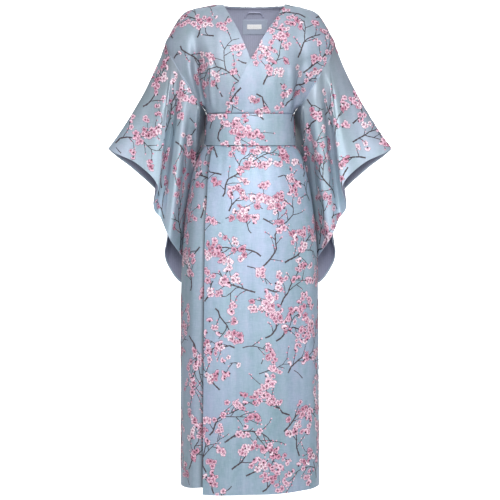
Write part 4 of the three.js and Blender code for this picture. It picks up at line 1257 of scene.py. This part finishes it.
def bough(fig, cloth, who, p, nor, d, length, w0, w1, level, r):
    line = walk(cloth, who, p, nor, d, length, r, curl=r.normal(0, 0.004), kink=(0.36, 0.34, 0.24)[level])
    if len(line) < 4:
        return
    twig(fig, cloth, line, w0, w1, r)
    n = len(line)
    for q, _, _ in line:
        cloth.claim(q, who)
    side = 1 if r.random() < 0.5 else -1
    fork = int(n * r.uniform(0.35, 0.6)) if level == 0 else -1
    gap, due = 0.0, r.uniform(14, 26)
    for i in range(2, n):
        q, qn, qd = line[i]
        u, w = frame_at(qn, qd)
        gap += 4
        if i == fork:
            a = side * r.uniform(0.5, 0.85)
            bough(fig, cloth, who, q, qn, u * math.cos(a) + w * math.sin(a), length * r.uniform(0.45, 0.7),
                  (w0 + w1) / 2 * 0.78, 1.8, 1, r)
            side, gap = -side, 0
        elif gap > due and level < 2 and i < n - 1:
            a = side * r.uniform(0.55, 1.05)
            bough(fig, cloth, who, q, qn, u * math.cos(a) + w * math.sin(a), r.uniform(14, 44) if level else r.uniform(18, 58),
                  2.4, 1.3, 2, r)
            side, gap, due = -side, 0, r.uniform(11, 24)
        if level == 2 and i % 2 == 1 and i < n - 1 and r.random() < 0.55:
            side = -side
            bud(fig, cloth, q, qn, u * 0.6 + w * side, r.uniform(4.5, 7), r)
        if level < 2 and i > n * 0.3 and r.random() < 0.085:
            cluster(fig, cloth, who, q, qn, qd, int(r.integers(3, 7)), r.uniform(8.6, 10.8), r)
    e, en, ed = line[-1]
    if level < 2 and n > 10 and r.random() < 0.75:  # it splits again at its end
        for a in (r.uniform(0.3, 0.6), -r.uniform(0.3, 0.6)):
            u, w = frame_at(en, ed)
            bough(fig, cloth, who, e, en, u * math.cos(a) + w * math.sin(a), r.uniform(24, 64), w1 * 0.9, 1.3, 2, r)
    elif r.random() < 0.7:
        cluster(fig, cloth, who, e, en, ed, int(r.integers(2, 6)), r.uniform(8.2, 10.4), r)
    else:
        bud(fig, cloth, e, en, ed, r.uniform(6, 8), r)


def decorate(name, S, N, closed, per_m2, seed, room=34, below=1.0, shade=lambda at, n: np.ones(len(at)),
             hidden=lambda at: np.zeros(len(at), bool)):
    cloth = Cloth(S, N, closed)
    if closed:  # no figures where the sleeve folds in beside the sash
        cloth.no_go = lambda p: abs(p[0]) < 147 and -445 < p[2] < -302
    r = np.random.default_rng(seed)
    fig = Figures()
    want = int(cloth.area * 1e-6 * per_m2)
    made = tries = 0
    while made < want and tries < want * 25:
        tries += 1
        k = int(np.searchsorted(cloth.cum, r.uniform(0, cloth.area)))
        p, nor, _ = cloth.near(Vector(cloth.mid[min(k, len(cloth.mid) - 1)]))
        small = tries > want * 6
        if p[2] < -440 and r.random() > below:  # the skirt is a little sparser than the bodice
            continue
        if not cloth.free(p, -1, room if not small else room * 0.55):
            continue
        made += 1
        a = r.choice([-1, 1]) * r.uniform(0.35, 1.35) + (math.pi if r.random() < 0.3 else 0)
        up = Vector((math.sin(a), 0.0, math.cos(a)))
        length = r.uniform(40, 90) if small else r.uniform(110, 220)
        bough(fig, cloth, made, p, nor, up, length, 3.0 if small else 4.8, 1.8 if small else 2.5, 1 if small else 0, r)
    o = fig.make(name, shade, hidden)
    print(name, "boughs", made, "triangles", sum(len(f) - 2 for f in fig.f))
    return o


DENSITY = 122


def under_sash(at):
    return (at[:, 2] < SASH_TOP - 0.2) & (at[:, 2] > SASH_FOOT - 1.2)


def under_sash_or_lap(at):
    return under_sash(at) | (at[:, 0] > over_edge(at[:, 2]) + 1.5)


# each piece's figures take the painted shade of its cloth
figures = {
    "back": decorate("back_blossoms", S_back, N_back, False, DENSITY * 0.96, 11, below=0.6, shade=lambda at, n: painted_shade_on_body(at), hidden=under_sash),
    "under": decorate("front_right_blossoms", S_under, N_under, False, DENSITY * 1.1, 12, below=0.5,
                      shade=lambda at, n: painted_shade_on_body(at, 0.6), hidden=under_sash_or_lap),
    "over": decorate("front_left_blossoms", S_over, N_over, False, DENSITY * 1.1, 13, below=0.5, shade=lambda at, n: painted_shade_on_body(at), hidden=under_sash),
    "left": decorate("sleeve_left_blossoms", sleeves["left"][2], sleeves["left"][4], True, DENSITY * 1.2, 14,
                     shade=painted_shade_beside_skirt),
    "right": decorate("sleeve_right_blossoms", sleeves["right"][2], sleeves["right"][4], True, DENSITY * 1.2, 15,
                      shade=painted_shade_beside_skirt),
    "sash": decorate("sash_blossoms", S_sash, N_sash, False, DENSITY * 1.6, 16, 24),
}

# ---------------------------------------------------------------- what each sheet of cloth measures
for piece, grid, closed, extra in (
    (back, P_back, False, [figures["back"]]),
    (under, P_under, False, [figures["under"]]),
    (over, P_over, False, [figures["over"]]),
    (sleeves["left"][0], sleeves["left"][3], True, [figures["left"]]),
    (sleeves["right"][0], sleeves["right"][3], True, [figures["right"]]),
    (sleeves["left"][1], sleeves["left"][3], True, []),
    (sleeves["right"][1], sleeves["right"][3], True, []),
    (lining, S_lining, False, []),
    (sash, P_sash, False, [figures["sash"]]),
):
    w, l, area = flat_size(grid, closed)
    round(min(area, w * l), 4)
    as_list(extra)
    print("cut", piece.name, round(w, 3), round(l, 3), round(area, 4))

# ---------------------------------------------------------------- floor and light
FLOOR = -1.70
me = bpy.data.meshes.new("floor")
prof = [(-3.0, FLOOR), (0.7, FLOOR), (2.0, FLOOR), (5.4, FLOOR)]
for i in range(1, 13):
    a = i / 12 * math.pi / 2
    prof.append((5.4 + math.sin(a), FLOOR + 1 - math.cos(a)))
prof.append((6.4, 2.4))
fv = [(x, y, z) for y, z in prof for x in (-3.2, 3.2)]
ff = [(2 * i, 2 * i + 1, 2 * i + 3, 2 * i + 2) for i in range(len(prof) - 1)]
me.from_pydata(fv, [], ff)
me.polygons.foreach_set("use_smooth", np.ones(len(me.polygons), bool))
floor = bpy.data.objects.new("floor", me)
bpy.context.scene.collection.objects.link(floor)
s = Tree("pale floor")
s.b.inputs["Base Color"].default_value = (0.86, 0.86, 0.86, 1)
s.b.inputs["Roughness"].default_value = 0.9
s.b.inputs["Specular IOR Level"].default_value = 0.1
s.b.inputs["Emission Color"].default_value = (1, 1, 1, 1)
sep = s.new("ShaderNodeSeparateXYZ")
s.link(s.coords(), sep.inputs[0])
ramp = s.new("ShaderNodeMapRange")
s.put(ramp, From_Min=0.3, From_Max=1.2, To_Min=0.0, To_Max=1.05)
s.link(sep.outputs["Y"], ramp.inputs["Value"])
s.link(ramp.outputs["Result"], s.b.inputs["Emission Strength"])
me.materials.append(s.mat)

world = bpy.data.worlds.new("studio")
bpy.context.scene.world = world
world.use_nodes = True
world.node_tree.nodes["Background"].inputs[0].default_value = (0.97, 0.98, 1, 1)
world.node_tree.nodes["Background"].inputs[1].default_value = 0.25


def area_light(name, at, to, size, watts, colour=(1, 1, 1)):
    data = bpy.data.lights.new(name, "AREA")
    data.shape = "RECTANGLE"
    data.size, data.size_y = size
    data.energy = watts
    data.color = colour
    o = bpy.data.objects.new(name, data)
    o.location = at
    o.rotation_mode = "QUATERNION"
    o.rotation_quaternion = (Vector(to) - Vector(at)).to_track_quat("-Z", "Y")
    bpy.context.scene.collection.objects.link(o)


area_light("key", (0.12, -3.0, 0.55), (0, 0, -0.55), (1.3, 1.5), 93, (1.0, 0.99, 0.98))
area_light("fill", (-2.2, -2.2, -1.0), (0, 0, -0.75), (1.0, 1.4), 9, (0.98, 0.99, 1.0))
area_light("top", (0.0, -0.9, 2.2), (0, 0, -0.1), (1.4, 0.9), 10)
area_light("side", (2.5, -1.2, -0.9), (0, 0, -0.8), (0.6, 1.4), 9)
area_light("backdrop", (0, 1.6, 2.2), (0, 4.0, -1.2), (2.4, 0.5), 60)

bpy.context.scene.view_settings.view_transform = "Standard"
bpy.context.scene.view_settings.look = "None"
bpy.context.scene.view_settings.exposure = 0.0
